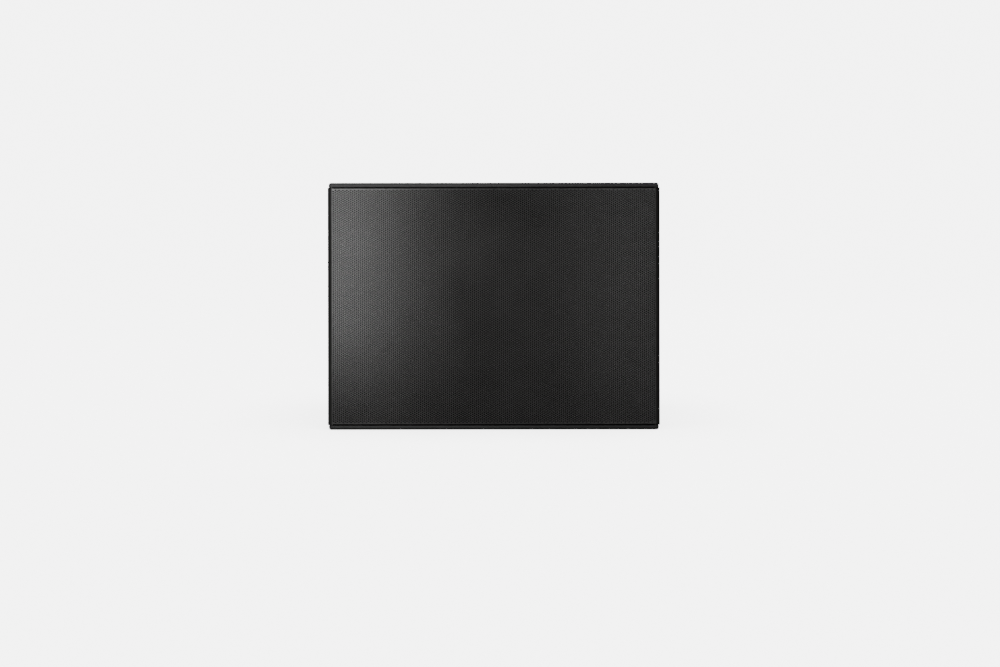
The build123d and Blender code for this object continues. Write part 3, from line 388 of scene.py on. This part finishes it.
STEEL = (0.42, 0.42, 0.43)
BRIGHT_ZINC = (0.55, 0.55, 0.55)
FINISHES = {
    "textured_black_paint": finish("Textured paint", (0.010, 0.010, 0.0105), (0.026, 0.026, 0.027),
                                   (0.45, 0.72), grain=0.0016, height=0.00035, dust=0.10,
                                   sharpness=0.6),
    "black_plywood": finish("Stained plywood", (0.006, 0.006, 0.006), (0.02, 0.018, 0.016), (0.6, 0.8),
                            stretch=(40.0, 500.0, 500.0), height=0.00005),
    "grille_steel": finish("Grille coat", (0.012, 0.012, 0.0118), (0.026, 0.0255, 0.025),
                           (0.31, 0.39), grain=0.0006, height=0.00001, dust=0.02),
    "foam": finish("Black foam", (0.002, 0.002, 0.002), (0.012, 0.012, 0.012), (0.9, 1.0),
                   grain=0.0011, height=0.0009, sharpness=0.7, dust=0.0, specular=0.1),
    "wadding": finish("Wadding", (0.42, 0.42, 0.40), (0.78, 0.78, 0.76), (0.85, 1.0),
                      grain=0.003, height=0.002, sharpness=0.8, specular=0.1),
    "black_screws": finish("Blackened screws", (0.03, 0.03, 0.031), (0.07, 0.07, 0.072), (0.3, 0.45),
                           grain=0.0005, height=0.00001, metallic=0.9, bare=STEEL, wear=0.5),
    "cast_aluminium": finish("Painted casting", (0.02, 0.02, 0.021), (0.05, 0.05, 0.051), (0.45, 0.6),
                             grain=0.0012, height=0.0001),
    "motor_steel": finish("Zinc plate", (0.36, 0.37, 0.38), (0.58, 0.58, 0.57), (0.25, 0.4),
                          grain=0.0006, height=0.00001, metallic=1.0),
    "ferrite": finish("Ferrite", (0.018, 0.018, 0.019), (0.05, 0.05, 0.052), (0.6, 0.85),
                      grain=0.0014, height=0.00008, sharpness=0.7),
    "cone_paper": finish("Pressed paper", (0.012, 0.012, 0.012), (0.04, 0.038, 0.036), (0.7, 0.9),
                         grain=0.0018, height=0.0002, sharpness=0.75),
    "surround_rubber": finish("Surround", (0.008, 0.008, 0.008), (0.02, 0.02, 0.02), (0.55, 0.7),
                              grain=0.0007, height=0.00004),
    "spider_cloth": finish("Treated cloth", (0.30, 0.19, 0.08), (0.52, 0.36, 0.18), (0.75, 0.9),
                           grain=0.0006, height=0.0001, sharpness=0.8),
    "coil_metal": finish("Coil foil", (0.55, 0.42, 0.30), (0.8, 0.68, 0.55), (0.25, 0.4),
                         grain=0.0004, height=0.00002, metallic=1.0),
    "moulded_plastic": finish("Moulded plastic", (0.012, 0.012, 0.0125), (0.024, 0.024, 0.0245),
                              (0.42, 0.55), grain=0.0005, height=0.00004, dust=0.08),
    "duct_aluminium": finish("Blasted casting", (0.28, 0.28, 0.29), (0.46, 0.46, 0.47), (0.4, 0.55),
                             grain=0.0005, height=0.00004, metallic=1.0),
    "board": finish("Circuit board", (0.01, 0.07, 0.03), (0.03, 0.16, 0.07), (0.25, 0.4),
                    grain=0.006, height=0.00002, sharpness=0.2),
    "copper_coils": finish("Enamelled copper", (0.45, 0.16, 0.05), (0.75, 0.34, 0.15), (0.2, 0.35),
                           stretch=(60.0, 60.0, 1600.0), height=0.0002, metallic=1.0),
    "capacitor_film": finish("Wrapped film", (0.5, 0.36, 0.03), (0.72, 0.55, 0.08), (0.25, 0.4),
                             grain=0.004, height=0.00002),
    "wire_jacket": finish("Wire jacket", (0.16, 0.008, 0.008), (0.28, 0.02, 0.018), (0.4, 0.55),
                          grain=0.001, height=0.00002),
    "dish_steel": finish("Dish coat", (0.012, 0.012, 0.0125), (0.026, 0.026, 0.0265), (0.4, 0.55),
                         grain=0.0006, height=0.00003, dust=0.1, bare=STEEL, wear=0.4),
    "rigging_steel": finish("Rigging coat", (0.013, 0.013, 0.0135), (0.03, 0.03, 0.031), (0.38, 0.55),
                            grain=0.0007, height=0.00003, dust=0.1, bare=STEEL, wear=0.8),
    "link_steel": finish("Dark zinc", (0.10, 0.10, 0.105), (0.22, 0.22, 0.225), (0.3, 0.5),
                         stretch=(900.0, 40.0, 900.0), height=0.00001, metallic=1.0,
                         bare=BRIGHT_ZINC, wear=0.8),
    "pin_steel": finish("Turned stainless", (0.45, 0.45, 0.46), (0.68, 0.68, 0.68), (0.16, 0.32),
                        grain=0.0008, height=0.000006, metallic=1.0),
    "handle_steel": finish("Handle coat", (0.014, 0.014, 0.0145), (0.03, 0.03, 0.031), (0.35, 0.5),
                           grain=0.0007, height=0.00002, dust=0.08),
    "grip_rubber": finish("Grip rubber", (0.008, 0.008, 0.0082), (0.02, 0.02, 0.0205), (0.6, 0.78),
                          grain=0.0006, height=0.00006, dust=0.08),
}
for part in frame["record"]["subparts"]:
    shown = frame["nodes"][part["node"]].data
    shown.materials.clear()
    shown.materials.append(FINISHES[part["material_slot"]])
print("finishes", len(FINISHES))

# %% [markdown]
# ## The perforated grille
# The real grille is one steel sheet, punched all over with round holes in staggered rows and
# then folded back along its edges. A picture of holes on a flat sheet would look right only
# from far away, so every hole is cut here. The sheet is a honeycomb of equal cells, each with
# a round hole, so the whole pattern is one cell's points added to a list of centres. The rims
# of the holes are the edges that belong to one face only, and so are the sheet's own edges,
# which makes the walls through its thickness one rule for both.

# %% Perforated sheet
PITCH = 4.0 * MM              # between neighbouring holes, one above the other
HOLE_RADIUS = 1.5 * MM
COLUMN_STEP = PITCH * sqrt(3) / 2
COLUMNS = 167
HOLES_EACH_WAY = 52           # above and below the middle one
CORNERS = 6
RIM_POINTS = 12               # round each hole
FLAT_HALF = 289.3 * MM        # where the flat ends and the side fold begins
FLAT_TOP = 210.6 * MM         # where it ends above and below
CORNER = PITCH / sqrt(3)      # from a cell's centre to its corners
STRIPS = 6
WELD = 0.01 * MM
NO_AREA = 1e-12


def column_holes(column):
    """Where one column of holes stands (x) and the heights of its holes; every other column is
    half a pitch higher than its neighbours."""
    from_middle = column - COLUMNS // 2
    heights = np.arange(-HOLES_EACH_WAY, HOLES_EACH_WAY + 1) * PITCH
    if from_middle % 2:
        heights = heights[:-1] + PITCH / 2
    return from_middle * COLUMN_STEP, heights


def cell_triangles():
    """Triangles of one cell: its corners come first, then the rim of its hole, which has a
    point towards each corner and one between each two."""
    corner = np.arange(CORNERS)
    following = (corner + 1) % CORNERS
    rim = CORNERS + 2 * corner
    middle = rim + 1
    rim_next = CORNERS + 2 * following
    return np.concatenate([
        np.column_stack([corner, following, middle]),
        np.column_stack([corner, middle, rim]),
        np.column_stack([following, rim_next, middle]),
    ])


def cell_field(first, last):
    """Points (x, z) and triangles of the honeycomb between two columns: centre + corner or rim
    point, for all the centres at once."""
    columns = [column_holes(c) for c in range(first, last)]
    centres = np.concatenate([np.column_stack([np.full(len(z), x), z]) for x, z in columns])
    around = np.arange(CORNERS) * 2 * pi / CORNERS
    rim = np.arange(RIM_POINTS) * 2 * pi / RIM_POINTS
    cell = np.concatenate([
        CORNER * np.column_stack([np.cos(around), np.sin(around)]),
        HOLE_RADIUS * np.column_stack([np.cos(rim), np.sin(rim)]),
    ])
    points = (centres[:, None, :] + cell[None, :, :]).reshape(-1, 2)
    starts = np.arange(len(centres))[:, None, None] * len(cell)
    return points, (starts + cell_triangles()[None]).reshape(-1, 3)


def welded(points, triangles):
    """Joins points that coincide, to a hundredth of a millimetre."""
    keys = np.round(points / WELD).astype(np.int64)
    _, first, index = np.unique(keys, axis=0, return_index=True, return_inverse=True)
    return points[first], index.reshape(-1)[triangles]


def border_strip(path, edge, towards):
    """Fills between a path of points and a straight edge beside it. towards is 1 for an edge at
    one height (top, bottom) and 0 for an upright one (left, right)."""
    beside = path.copy()
    beside[:, towards] = edge
    n = len(path)
    i = np.arange(n - 1)
    points = np.concatenate([path, beside])
    a, b, c, d = i, i + 1, n + i + 1, n + i
    return points, np.concatenate([np.column_stack([a, b, c]), np.column_stack([a, c, d])])


def turned_alike(points, triangles):
    """Gives all triangles the same turning direction in the plane and drops those without area."""
    a, b, c = (points[triangles[:, k]] for k in range(3))
    area = (b[:, 0] - a[:, 0]) * (c[:, 1] - a[:, 1]) - (b[:, 1] - a[:, 1]) * (c[:, 0] - a[:, 0])
    solid = np.abs(area) > NO_AREA
    kept = triangles[solid]
    return np.where((area[solid] < 0)[:, None], kept[:, ::-1], kept)


def outer_path(column, side):
    """The zigzag outline of the first (side -1) or last (side 1) column, from the sheet's lower
    edge to its upper one."""
    x, heights = column_holes(column)
    path = [(x + side * CORNER / 2, -FLAT_TOP)]
    for z in heights:
        path += [(x + side * CORNER / 2, z - PITCH / 2), (x + side * CORNER, z)]
    path.append((x + side * CORNER / 2, heights[-1] + PITCH / 2))
    path.append((x + side * CORNER / 2, FLAT_TOP))
    return np.array(path)


def strip_of_grille(first, last):
    """One upright strip of the sheet, with its plain borders above, below and at the ends."""
    parts = [cell_field(first, last)]
    for sign in (-1, 1):
        path = []
        for c in range(first, last):
            x, heights = column_holes(c)
            z = sign * (heights.max() + PITCH / 2)
            path += [(x - CORNER / 2, z), (x + CORNER / 2, z)]
        parts.append(border_strip(np.array(path), sign * FLAT_TOP, 1))
    for column, side in ((0, -1), (COLUMNS - 1, 1)):
        if first <= column < last:
            parts.append(border_strip(outer_path(column, side), side * FLAT_HALF, 0))
    points = np.concatenate([p for p, _ in parts])
    offsets = np.cumsum([0] + [len(p) for p, _ in parts[:-1]])
    triangles = np.concatenate([t + o for (_, t), o in zip(parts, offsets)])
    points, triangles = welded(points, triangles)
    return points, turned_alike(points, triangles)


def sheet_solid(points, triangles):
    """Gives a flat pattern its thickness: a front, a back, and a wall at each free edge."""
    n = len(points)
    front = np.column_stack([points[:, 0], np.full(n, SHEET_FRONT), points[:, 1]])
    back = np.column_stack([points[:, 0], np.full(n, SHEET_BACK), points[:, 1]])
    edges = np.concatenate([triangles[:, [0, 1]], triangles[:, [1, 2]], triangles[:, [2, 0]]])
    key = np.sort(edges, axis=1)
    _, index, count = np.unique(key, axis=0, return_index=True, return_counts=True)
    free = edges[index[count == 1]]
    walls = np.column_stack([free[:, 1], free[:, 0], free[:, 0] + n, free[:, 1] + n])
    return np.concatenate([front, back]), triangles, triangles[:, ::-1] + n, walls


def build_grille():
    """The strips of the perforated face, side by side."""
    strips = []
    limits = np.linspace(0, COLUMNS, STRIPS + 1).round().astype(int)
    for number, (first, last) in enumerate(zip(limits[:-1], limits[1:]), start=1):
        points, front, back, walls = sheet_solid(*strip_of_grille(first, last))
        faces = front.tolist() + back.tolist() + walls.tolist()
        strips.append(new_object(f"grille_sheet_{number}", points, faces, "cabinet",
                                 FINISHES["grille_steel"], "grille_steel"))
    return strips


grille_strips = build_grille()
print("grille strips", [len(o.data.polygons) for o in grille_strips])

# %% [markdown]
# The folded sides and edges carry no holes. Each fold is one cross-section, a quarter of an
# ellipse that runs on straight to the rear, carried along its edge. It turns away from the
# lights in front within a few millimetres, which gives the face its dark outline.

# %% Folded edges of the grille
SIDE_REAR = 40 * MM
EDGE_REAR = 13 * MM
SIDE_TURN = 9 * MM            # how far back the side folds turn
EDGE_TURN = 3.5 * MM
SHEET = SHEET_BACK - SHEET_FRONT
TURN_POINTS = 13


def fold_section(flat_end, edge, turn_depth, rear):
    """Closed cross-section, rows (out, back): an outer quarter ellipse from the flat to the edge,
    out = flat_end + a sin t and back = b (1 - cos t), straight on to the rear, and the same line
    back one sheet further in."""
    t = np.linspace(0, pi / 2, TURN_POINTS)
    width = edge - flat_end
    outer = np.column_stack([flat_end + width * np.sin(t), SHEET_FRONT + turn_depth * (1 - np.cos(t))])
    inner = np.column_stack([flat_end + (width - SHEET) * np.sin(t),
                             SHEET_BACK + (turn_depth - SHEET) * (1 - np.cos(t))])
    return np.vstack([outer, [edge, rear], [edge - SHEET, rear], inner[::-1]])


def carried(section, ends, across):
    """A cross-section carried straight between two places and closed at both ends. across 0: it
    lies in x and y and runs up z; across 1: it lies in z and y and runs along x."""
    n = len(section)
    rows = []
    for end in ends:
        place = np.full(n, end)
        out, back = section[:, 0], section[:, 1]
        rows.append(np.column_stack([out, back, place] if across == 0 else [place, back, out]))
    faces = grid_faces(2, n).tolist()
    i = np.arange(n // 2 - 1)
    for base in (0, n):
        faces += (np.column_stack([i, i + 1, n - 2 - i, n - 1 - i]) + base).tolist()
    return np.concatenate(rows), faces


def grille_fold(side, across):
    """One folded side (across 0) or folded top or bottom edge (across 1)."""
    if across == 0:
        section = fold_section(FLAT_HALF, FRONT_WIDTH / 2, SIDE_TURN, SIDE_REAR)
        ends = (-GRILLE_HALF, GRILLE_HALF)
    else:
        section = fold_section(FLAT_TOP, GRILLE_HALF, EDGE_TURN, EDGE_REAR)
        ends = (-FLAT_HALF, FLAT_HALF)
    section[:, 0] *= side
    return carried(section, ends, across)


def joined(pieces):
    """Several point and face lists as one."""
    points, faces, start = [], [], 0
    for p, f in pieces:
        points.append(np.asarray(p, float))
        faces += [[start + i for i in face] for face in f]
        start += len(p)
    return np.concatenate(points), faces


all_folds = joined([grille_fold(side, across) for across in (0, 1) for side in (-1, 1)])
grille_folds = new_object("grille_folds", *all_folds, "cabinet", FINISHES["grille_steel"],
                          "grille_steel")
face_outward(grille_folds)
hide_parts("front_grille")
print("grille folds", len(grille_folds.data.polygons))

# %% [markdown]
# ## Foam and wadding
# The soft panels are slabs with round, slightly uneven edges and faces. Each is a set of rings
# between a middle (or a hole) and an outline, gone over once on the front and once on the back,
# so it closes on itself. A cloth simulation would add little here, as none of them hangs free.

# %% Soft panels
OUTLINE_POINTS = 160
SLAB_RINGS = 30
WAVES = ((0.3, 1.0), (1.4, 0.73), (2.5, 0.41))   # direction in radians, share of the size
WAVE_PHASE = 2.1              # between one wave and the next


def outline(half_width, half_tall, sharpness):
    """Rounded rectangle: r(a) = (|cos a / w|^p + |sin a / h|^p)^(-1/p) at even angles a, where a
    larger p gives sharper corners."""
    a = np.arange(OUTLINE_POINTS) * 2 * pi / OUTLINE_POINTS
    r = (np.abs(np.cos(a) / half_width) ** sharpness
         + np.abs(np.sin(a) / half_tall) ** sharpness) ** (-1 / sharpness)
    return np.column_stack([r * np.cos(a), r * np.sin(a)])


def waves(a, b, size, seed):
    """Unevenness from 0 to 1: the mean of sine waves of about one size, each along its own
    direction d, sin(2 pi (a cos d + b sin d) / size + phase), brought from -1..1 to 0..1."""
    total = 0
    for k, (direction, share) in enumerate(WAVES):
        across = a * cos(direction) + b * sin(direction)
        total = total + np.sin(2 * pi * across / (size * share) + seed + WAVE_PHASE * k)
    return 0.5 + total / (2 * len(WAVES))


def soft_slab(outer, hole, half, dent, wave, seed):
    """Points (a, b, lift) and faces of a soft slab, half thick each way. Ring points are
    hole + s (outer - hole), or s outer without a hole; at a distance d from an edge the lift is
    half sqrt(1 - (1 - d / half)^2), full from d = half on, less up to the share dent of it."""
    closed = hole is not None
    inner = hole if closed else np.zeros_like(outer)
    k = np.arange(SLAB_RINGS + 1) / SLAB_RINGS
    share = (1 - np.cos(pi * k)) / 2 if closed else np.sin(pi / 2 * k)
    back = share[-2:0:-1] if closed else share[-2::-1]
    s = np.concatenate([share, back])[:, None]
    side = np.concatenate([np.ones(len(share)), -np.ones(len(back))])[:, None]
    flat = inner + s[..., None] * (outer - inner)
    reach = np.linalg.norm(outer - inner, axis=1)
    edge = (1 - s) * reach
    if closed:
        edge = np.minimum(edge, s * reach)
    rounded = np.sqrt(1 - (1 - np.clip(edge / half, 0, 1)) ** 2)
    uneven = waves(flat[..., 0], flat[..., 1], wave, seed + side)
    lift = side * half * rounded * (1 - dent * uneven)
    points = np.concatenate([flat, lift[..., None]], axis=-1).reshape(-1, 3)
    return points, grid_faces(len(s), len(outer), closed_rows=closed)


def soft_piece(name, slab, place, slot, node):
    """A soft slab put in its place in the cabinet, instead of its plain CAD solid."""
    points, faces = slab
    obj = new_object(name, place(points[:, 0], points[:, 1], points[:, 2]), faces, "cabinet",
                     FINISHES[slot], slot, smooth=True)
    face_outward(obj)
    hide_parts(node)
    return obj


FOAM_MIDDLE = 7.7 * MM        # middles of the three panels, behind the cabinet's front
TOP_MIDDLE = 234.5 * MM
REAR_MIDDLE = 412 * MM
TOP_INSET = 25.25 * MM        # from the top plane down to the middle of the top wadding
DISH_HEIGHT = -40 * MM        # of the connector dish, which the rear wadding goes round


def behind_grille(a, b, lift):
    """Upright, behind the grille."""
    return np.column_stack([a, FOAM_MIDDLE + lift, b])


def under_top(a, b, lift):
    """Along the underside of the sloping top panel."""
    y = TOP_MIDDLE + b
    return np.column_stack([a, y, half_height(y, TOP_INSET) + lift])


def on_rear(a, b, lift):
    """Upright, in front of the rear panel."""
    return np.column_stack([a, REAR_MIDDLE + lift, b])


foam_slab = soft_slab(outline(half_width=291.5 * MM, half_tall=210.5 * MM, sharpness=60), hole=None,
                      half=3.9 * MM, dent=0.06, wave=55 * MM, seed=0.4)
top_slab = soft_slab(outline(half_width=252 * MM, half_tall=97.5 * MM, sharpness=30), hole=None,
                     half=9.4 * MM, dent=0.3, wave=70 * MM, seed=1.3)
dish_window = outline(half_width=81 * MM, half_tall=61 * MM, sharpness=10) + (0, DISH_HEIGHT)
rear_slab = soft_slab(outline(half_width=252 * MM, half_tall=168 * MM, sharpness=30), hole=dish_window,
                      half=12.2 * MM, dent=0.3, wave=75 * MM, seed=2.2)
soft_pieces = [
    soft_piece("foam_sheet", foam_slab, behind_grille, "foam", "grille_foam"),
    soft_piece("wadding_under_top", top_slab, under_top, "wadding", "wadding_top"),
    soft_piece("wadding_on_rear", rear_slab, on_rear, "wadding", "wadding_rear"),
]
print("soft pieces", [len(o.data.polygons) for o in soft_pieces])

# %% [markdown]
# ## Surround and spider
# Two rings hold the cone: a rubber half-roll at its rim and a wavy cloth disc round its coil.
# In the real woofer both bend as the cone moves, their outer edges fixed to the basket and their inner
# edges to the cone. Here they are turned rings at rest, tied to no body.

# %% Rings round the woofer's axis
WOOFER_X = -95 * MM
RING_STEPS = 120
ROLL_MIDDLE = 130 * MM        # radius of the surround's crest
ROLL_SEAT = 24.6 * MM         # its depth behind the front
ROLL_POINTS = 21
SURROUND_WALL = 0.9 * MM
COIL_RADIUS = 39.4 * MM       # where the spider begins
SPIDER_MIDDLE = 109.4 * MM    # its depth behind the front
SPIDER_SWING = 1.6 * MM       # height of its waves each way
SPIDER_WAVES = 5
WAVE_POINTS = 12              # along each wave
SPIDER_CLOTH = 0.8 * MM


def ring_piece(name, profile, slot, node):
    """A ring turned round the woofer's axis, in place of its plain CAD solid."""
    points, faces = turned_grid(profile, (WOOFER_X, 0, 0), RING_STEPS)
    obj = new_object(name, points, faces, None, FINISHES[slot], slot, smooth=True)
    face_outward(obj)
    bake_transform(obj)
    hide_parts(node)
    return obj


def half_size(node):
    """Half the width of a CAD node across the front."""
    low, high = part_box(node)
    return (high.x - low.x) / 2


def roll_arc(reach):
    """Half circle of the roll: r = middle + reach cos t, y = seat - reach sin t."""
    t = np.linspace(0, pi, ROLL_POINTS)
    return np.column_stack([ROLL_MIDDLE + reach * np.cos(t), ROLL_SEAT - reach * np.sin(t)])


def surround_profile(reach):
    """Half-roll: an outer arc, and an arc one wall smaller back again."""
    return np.vstack([roll_arc(reach), roll_arc(reach - SURROUND_WALL)[::-1]])


def spider_profile(outer):
    """Waves y = middle +- cloth / 2 - swing cos(2 pi n s), with s from the coil to the basket."""
    s = np.linspace(0, 1, SPIDER_WAVES * WAVE_POINTS + 1)
    r = COIL_RADIUS + s * (outer - COIL_RADIUS)
    wave = SPIDER_MIDDLE - SPIDER_SWING * np.cos(2 * pi * SPIDER_WAVES * s)
    front = np.column_stack([r, wave - SPIDER_CLOTH / 2])
    back = np.column_stack([r, wave + SPIDER_CLOTH / 2])
    return np.vstack([front, back[::-1]])


surround_outer = half_size("woofer_surround")
surround_reach = surround_outer - ROLL_MIDDLE
surround = ring_piece("surround_roll", surround_profile(surround_reach), "surround_rubber",
                      "woofer_surround")
spider_outer = half_size("woofer_spider")
spider = ring_piece("spider_disc", spider_profile(spider_outer), "spider_cloth",
                    "woofer_spider")
print("rings", len(surround.data.polygons), len(spider.data.polygons))

# %% [markdown]
# ## Ribbed grips
# The rubber sleeve of each handle is one profile turned round the handle: a row of soft ribs on
# the outside, round shoulders at both ends and the handle's bore inside.

# %% Grips
GRIP_MIDDLE = (283 * MM, 240 * MM, 0)   # of the right one
GRIP_RADIUS = 11 * MM
GRIP_BORE = 8.05 * MM
GRIP_HALF = 50 * MM
GRIP_STEPS = 48
SHOULDER = 2 * MM
SHOULDER_POINTS = 5
RIBS = 16
RIB_POINTS = 8                # along each rib
RIB_DEPTH = 0.9 * MM


def grip_profile():
    """Closed profile, rows (radius, distance along): r = R - depth sin^2(pi n s) between the
    shoulders, which are quarter circles, and a straight bore back."""
    t = np.linspace(0, pi / 2, SHOULDER_POINTS)
    low = np.column_stack([GRIP_RADIUS - SHOULDER + SHOULDER * np.sin(t),
                           -GRIP_HALF + SHOULDER * (1 - np.cos(t))])
    s = np.linspace(0, 1, RIBS * RIB_POINTS + 1)[1:-1]
    along = (2 * s - 1) * (GRIP_HALF - SHOULDER)
    ribs = np.column_stack([GRIP_RADIUS - RIB_DEPTH * np.sin(pi * RIBS * s) ** 2, along])
    high = low[::-1] * (1, -1)
    bore = np.array([[GRIP_BORE, GRIP_HALF], [GRIP_BORE, -GRIP_HALF]])
    return np.vstack([low, ribs, high, bore])


def build_grip(name, node, side):
    """The ribbed sleeve of the left (side -1) or right (side 1) handle."""
    x, y, z = GRIP_MIDDLE
    points, faces = turned_grid(grip_profile(), (side * x, y, z), GRIP_STEPS)
    obj = new_object(name, points, faces, "cabinet", FINISHES["grip_rubber"], "grip_rubber",
                     smooth=True)
    face_outward(obj)
    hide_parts(node)
    return obj


grips = [
    build_grip("ribbed_grip_left", "handle_grip_left", -1),
    build_grip("ribbed_grip_right", "handle_grip_right", 1),
]
print("grips", [len(o.data.polygons) for o in grips])

# %% [markdown]
# ## Studio
# Black objects show mostly what they mirror, so the lights decide how the grille looks. An
# upright strip light stands close in front of the left half, and its mirror image fades over the
# face towards the right, where a weaker one stands. The floor and the air are pale for the
# camera only, because a white room would fill the dark folds at the sides with light. The lights
# round the sides, the rear and the underside leave the grille out for the same reason. Its folds
# have two lights of their own, far back, that only graze them, and its flat face has two at the
# sides that show when it is seen from an angle. The floor is clear from below and to the light
# underneath it.

# %% Floor, air, lights and camera
PALE = (0.93, 0.93, 0.93)
PALE_GLOW = 6.5               # brightness of the floor and the air to the camera
AIR_LIGHT = 0.08              # what the air gives the object
CONTACT_SHADE = 0.45          # how much the floor darkens where the object hides the sky
SHADE_REACH = 0.25            # how far from the object it does so
FLOOR_REACH = 30.0            # past the edges of the camera's view


def camera_only(tree, strength, otherwise=0.0):
    """A strength that only the camera sees; other rays get the second value."""
    seen = add(tree, "ShaderNodeLightPath").outputs["Is Camera Ray"]
    extra = math_node(tree, "MULTIPLY", seen, strength - otherwise)
    return math_node(tree, "ADD", extra, otherwise)


def build_floor():
    """A plain pale floor, clear from below so that the underside can be looked at."""
    corners = [(x * FLOOR_REACH, y * FLOOR_REACH, 0) for x, y in ((-1, -1), (1, -1), (1, 1), (-1, 1))]
    mesh = bpy.data.meshes.new("studio_floor")
    mesh.from_pydata(corners, [], [(0, 1, 2, 3)])
    floor = bpy.data.objects.new("studio_floor", mesh)
    bpy.context.scene.collection.objects.link(floor)
    paint = bpy.data.materials.new("Studio floor")
    paint.use_nodes = True
    tree = paint.node_tree
    surface = tree.nodes["Principled BSDF"]
    mottle = use(tree, BLOTCH, Size=0.6, Contrast=0.4)
    colour = mix_colour(tree, mottle.outputs["Mask"], (0.09, 0.09, 0.09), (0.11, 0.11, 0.11))
    tree.links.new(colour, surface.inputs["Base Color"])
    surface.inputs["Emission Color"].default_value = (*PALE, 1)
    open_sky = add(tree, "ShaderNodeAmbientOcclusion", {"samples": 8}, Distance=SHADE_REACH)
    shade = spread(tree, open_sky.outputs["AO"], 1 - CONTACT_SHADE, 1.0)
    glow = math_node(tree, "MULTIPLY", camera_only(tree, PALE_GLOW), shade)
    tree.links.new(glow, surface.inputs["Emission Strength"])
    surface.inputs["Roughness"].default_value = 0.9
    surface.inputs["Specular IOR Level"].default_value = 0.1
    from_below = add(tree, "ShaderNodeNewGeometry").outputs["Backfacing"]
    tree.links.new(math_node(tree, "SUBTRACT", 1.0, from_below), surface.inputs["Alpha"])
    mesh.materials.append(paint)
    return floor


def build_air():
    """World light: pale behind the object, weak as a light on it."""
    world = bpy.data.worlds.new("Studio air")
    world.use_nodes = True
    glow = world.node_tree.nodes["Background"]
    glow.inputs["Color"].default_value = (*PALE, 1)
    strength = camera_only(world.node_tree, PALE_GLOW, AIR_LIGHT)
    world.node_tree.links.new(strength, glow.inputs["Strength"])
    bpy.context.scene.world = world
    return world


def area_light(name, place, target, size, power):
    """A rectangular soft light (power in watts) at a place, turned to a target and not seen by
    the camera."""
    data = bpy.data.lights.new(name, "AREA")
    data.shape = "RECTANGLE"
    data.size, data.size_y = size
    data.energy = power
    lamp = bpy.data.objects.new(name, data)
    bpy.context.scene.collection.objects.link(lamp)
    place, target = np.array(place, float), np.array(target, float)
    away = place - target
    away /= np.linalg.norm(away)
    side = np.cross([0, 0, 1.0], away)
    side /= np.linalg.norm(side)
    up = np.cross(away, side)
    rows = np.column_stack([side, up, away, place]).tolist()
    lamp.matrix_world = Matrix([*rows, [0, 0, 0, 1]])
    lamp.visible_camera = False
    return lamp


def choose(name, pieces, state):
    """A group of pieces for a light to act on alone (INCLUDE) or to leave out (EXCLUDE)."""
    group = bpy.data.collections.new(name)
    for piece in pieces:
        group.objects.link(piece)
    for link in group.collection_objects:
        link.light_linking.link_state = state
    return group


studio_floor = build_floor()
build_air()
whole_grille = [*grille_strips, grille_folds]
front_y = stand([[0, 0, 0]])[0][1]

# Each light: name, place, target, width and height, power.
area_light("Key", (-0.31, -0.84, 0.44), (-0.30, front_y, 0.32), (0.12, 0.55), 3.7)
area_light("Fill", (0.29, -1.20, 0.40), (0.29, front_y, 0.25), (0.08, 0.60), 1.4)
area_light("Top", (0.0, -0.7, 2.1), (0.0, 0.0, 0.3), (1.6, 0.8), 9)
underneath = area_light("Underneath", (0.2, 1.2, -1.4), (0.0, 0.0, 0.0), (1.2, 1.2), 30)
underneath.light_linking.blocker_collection = choose("Clear floor", [studio_floor], "EXCLUDE")
for lamp in (
    area_light("Left side", (-1.9, 0.5, 1.0), (-0.3, 0.05, 0.2), (0.9, 1.3), 24),
    area_light("Right side", (1.9, 0.3, 0.8), (0.3, 0.05, 0.2), (0.9, 1.3), 24),
    area_light("Rear", (0.7, 2.2, 1.2), (0.0, 0.25, 0.2), (1.2, 1.0), 45),
    area_light("Over the top", (-0.4, 1.4, 1.9), (0.0, 0.0, 0.4), (1.2, 0.9), 16),
    underneath,
):
    lamp.light_linking.receiver_collection = choose(lamp.name + " pieces", whole_grille, "EXCLUDE")
for lamp in (
    area_light("Left fold", (-1.0, 2.4, 0.8), (-0.3, -0.2, 0.2), (0.5, 0.8), 130),
    area_light("Right fold", (1.0, 2.4, 0.8), (0.3, -0.2, 0.2), (0.5, 0.8), 130),
):
    lamp.light_linking.receiver_collection = choose(lamp.name + " pieces", [grille_folds], "INCLUDE")
for lamp in (
    area_light("Left of the grille", (-2.1, -1.5, 0.9), (0.0, -0.2, 0.2), (0.8, 1.2), 14),
    area_light("Right of the grille", (2.1, -1.5, 0.9), (0.0, -0.2, 0.2), (0.8, 1.2), 14),
):
    lamp.light_linking.receiver_collection = choose(lamp.name + " pieces", grille_strips, "INCLUDE")

CAMERA_DISTANCE = 8.0         # from the front of the cabinet, square on
LENS_PER_METRE = 20.085       # lens in mm for each metre of distance, which sets the object's size
CAMERA_SHIFT = (0.0062, -0.0273)
CAMERA_ROLL = radians(-0.08)
camera_data = bpy.data.cameras.new("Camera")
camera_data.sensor_width = 36.0
camera_data.lens = LENS_PER_METRE * CAMERA_DISTANCE
camera_data.shift_x, camera_data.shift_y = CAMERA_SHIFT
camera_data.clip_end = 3 * FLOOR_REACH
camera = bpy.data.objects.new("Camera", camera_data)
bpy.context.scene.collection.objects.link(camera)
camera.location = stand([[0, -CAMERA_DISTANCE, 0]])[0]
turn = Matrix.Rotation(pi / 2 - TAPER, 3, "X") @ Matrix.Rotation(CAMERA_ROLL, 3, "Z")
camera.rotation_euler = turn.to_euler()
bpy.context.scene.camera = camera
print("camera", tuple(round(c, 3) for c in camera.location))
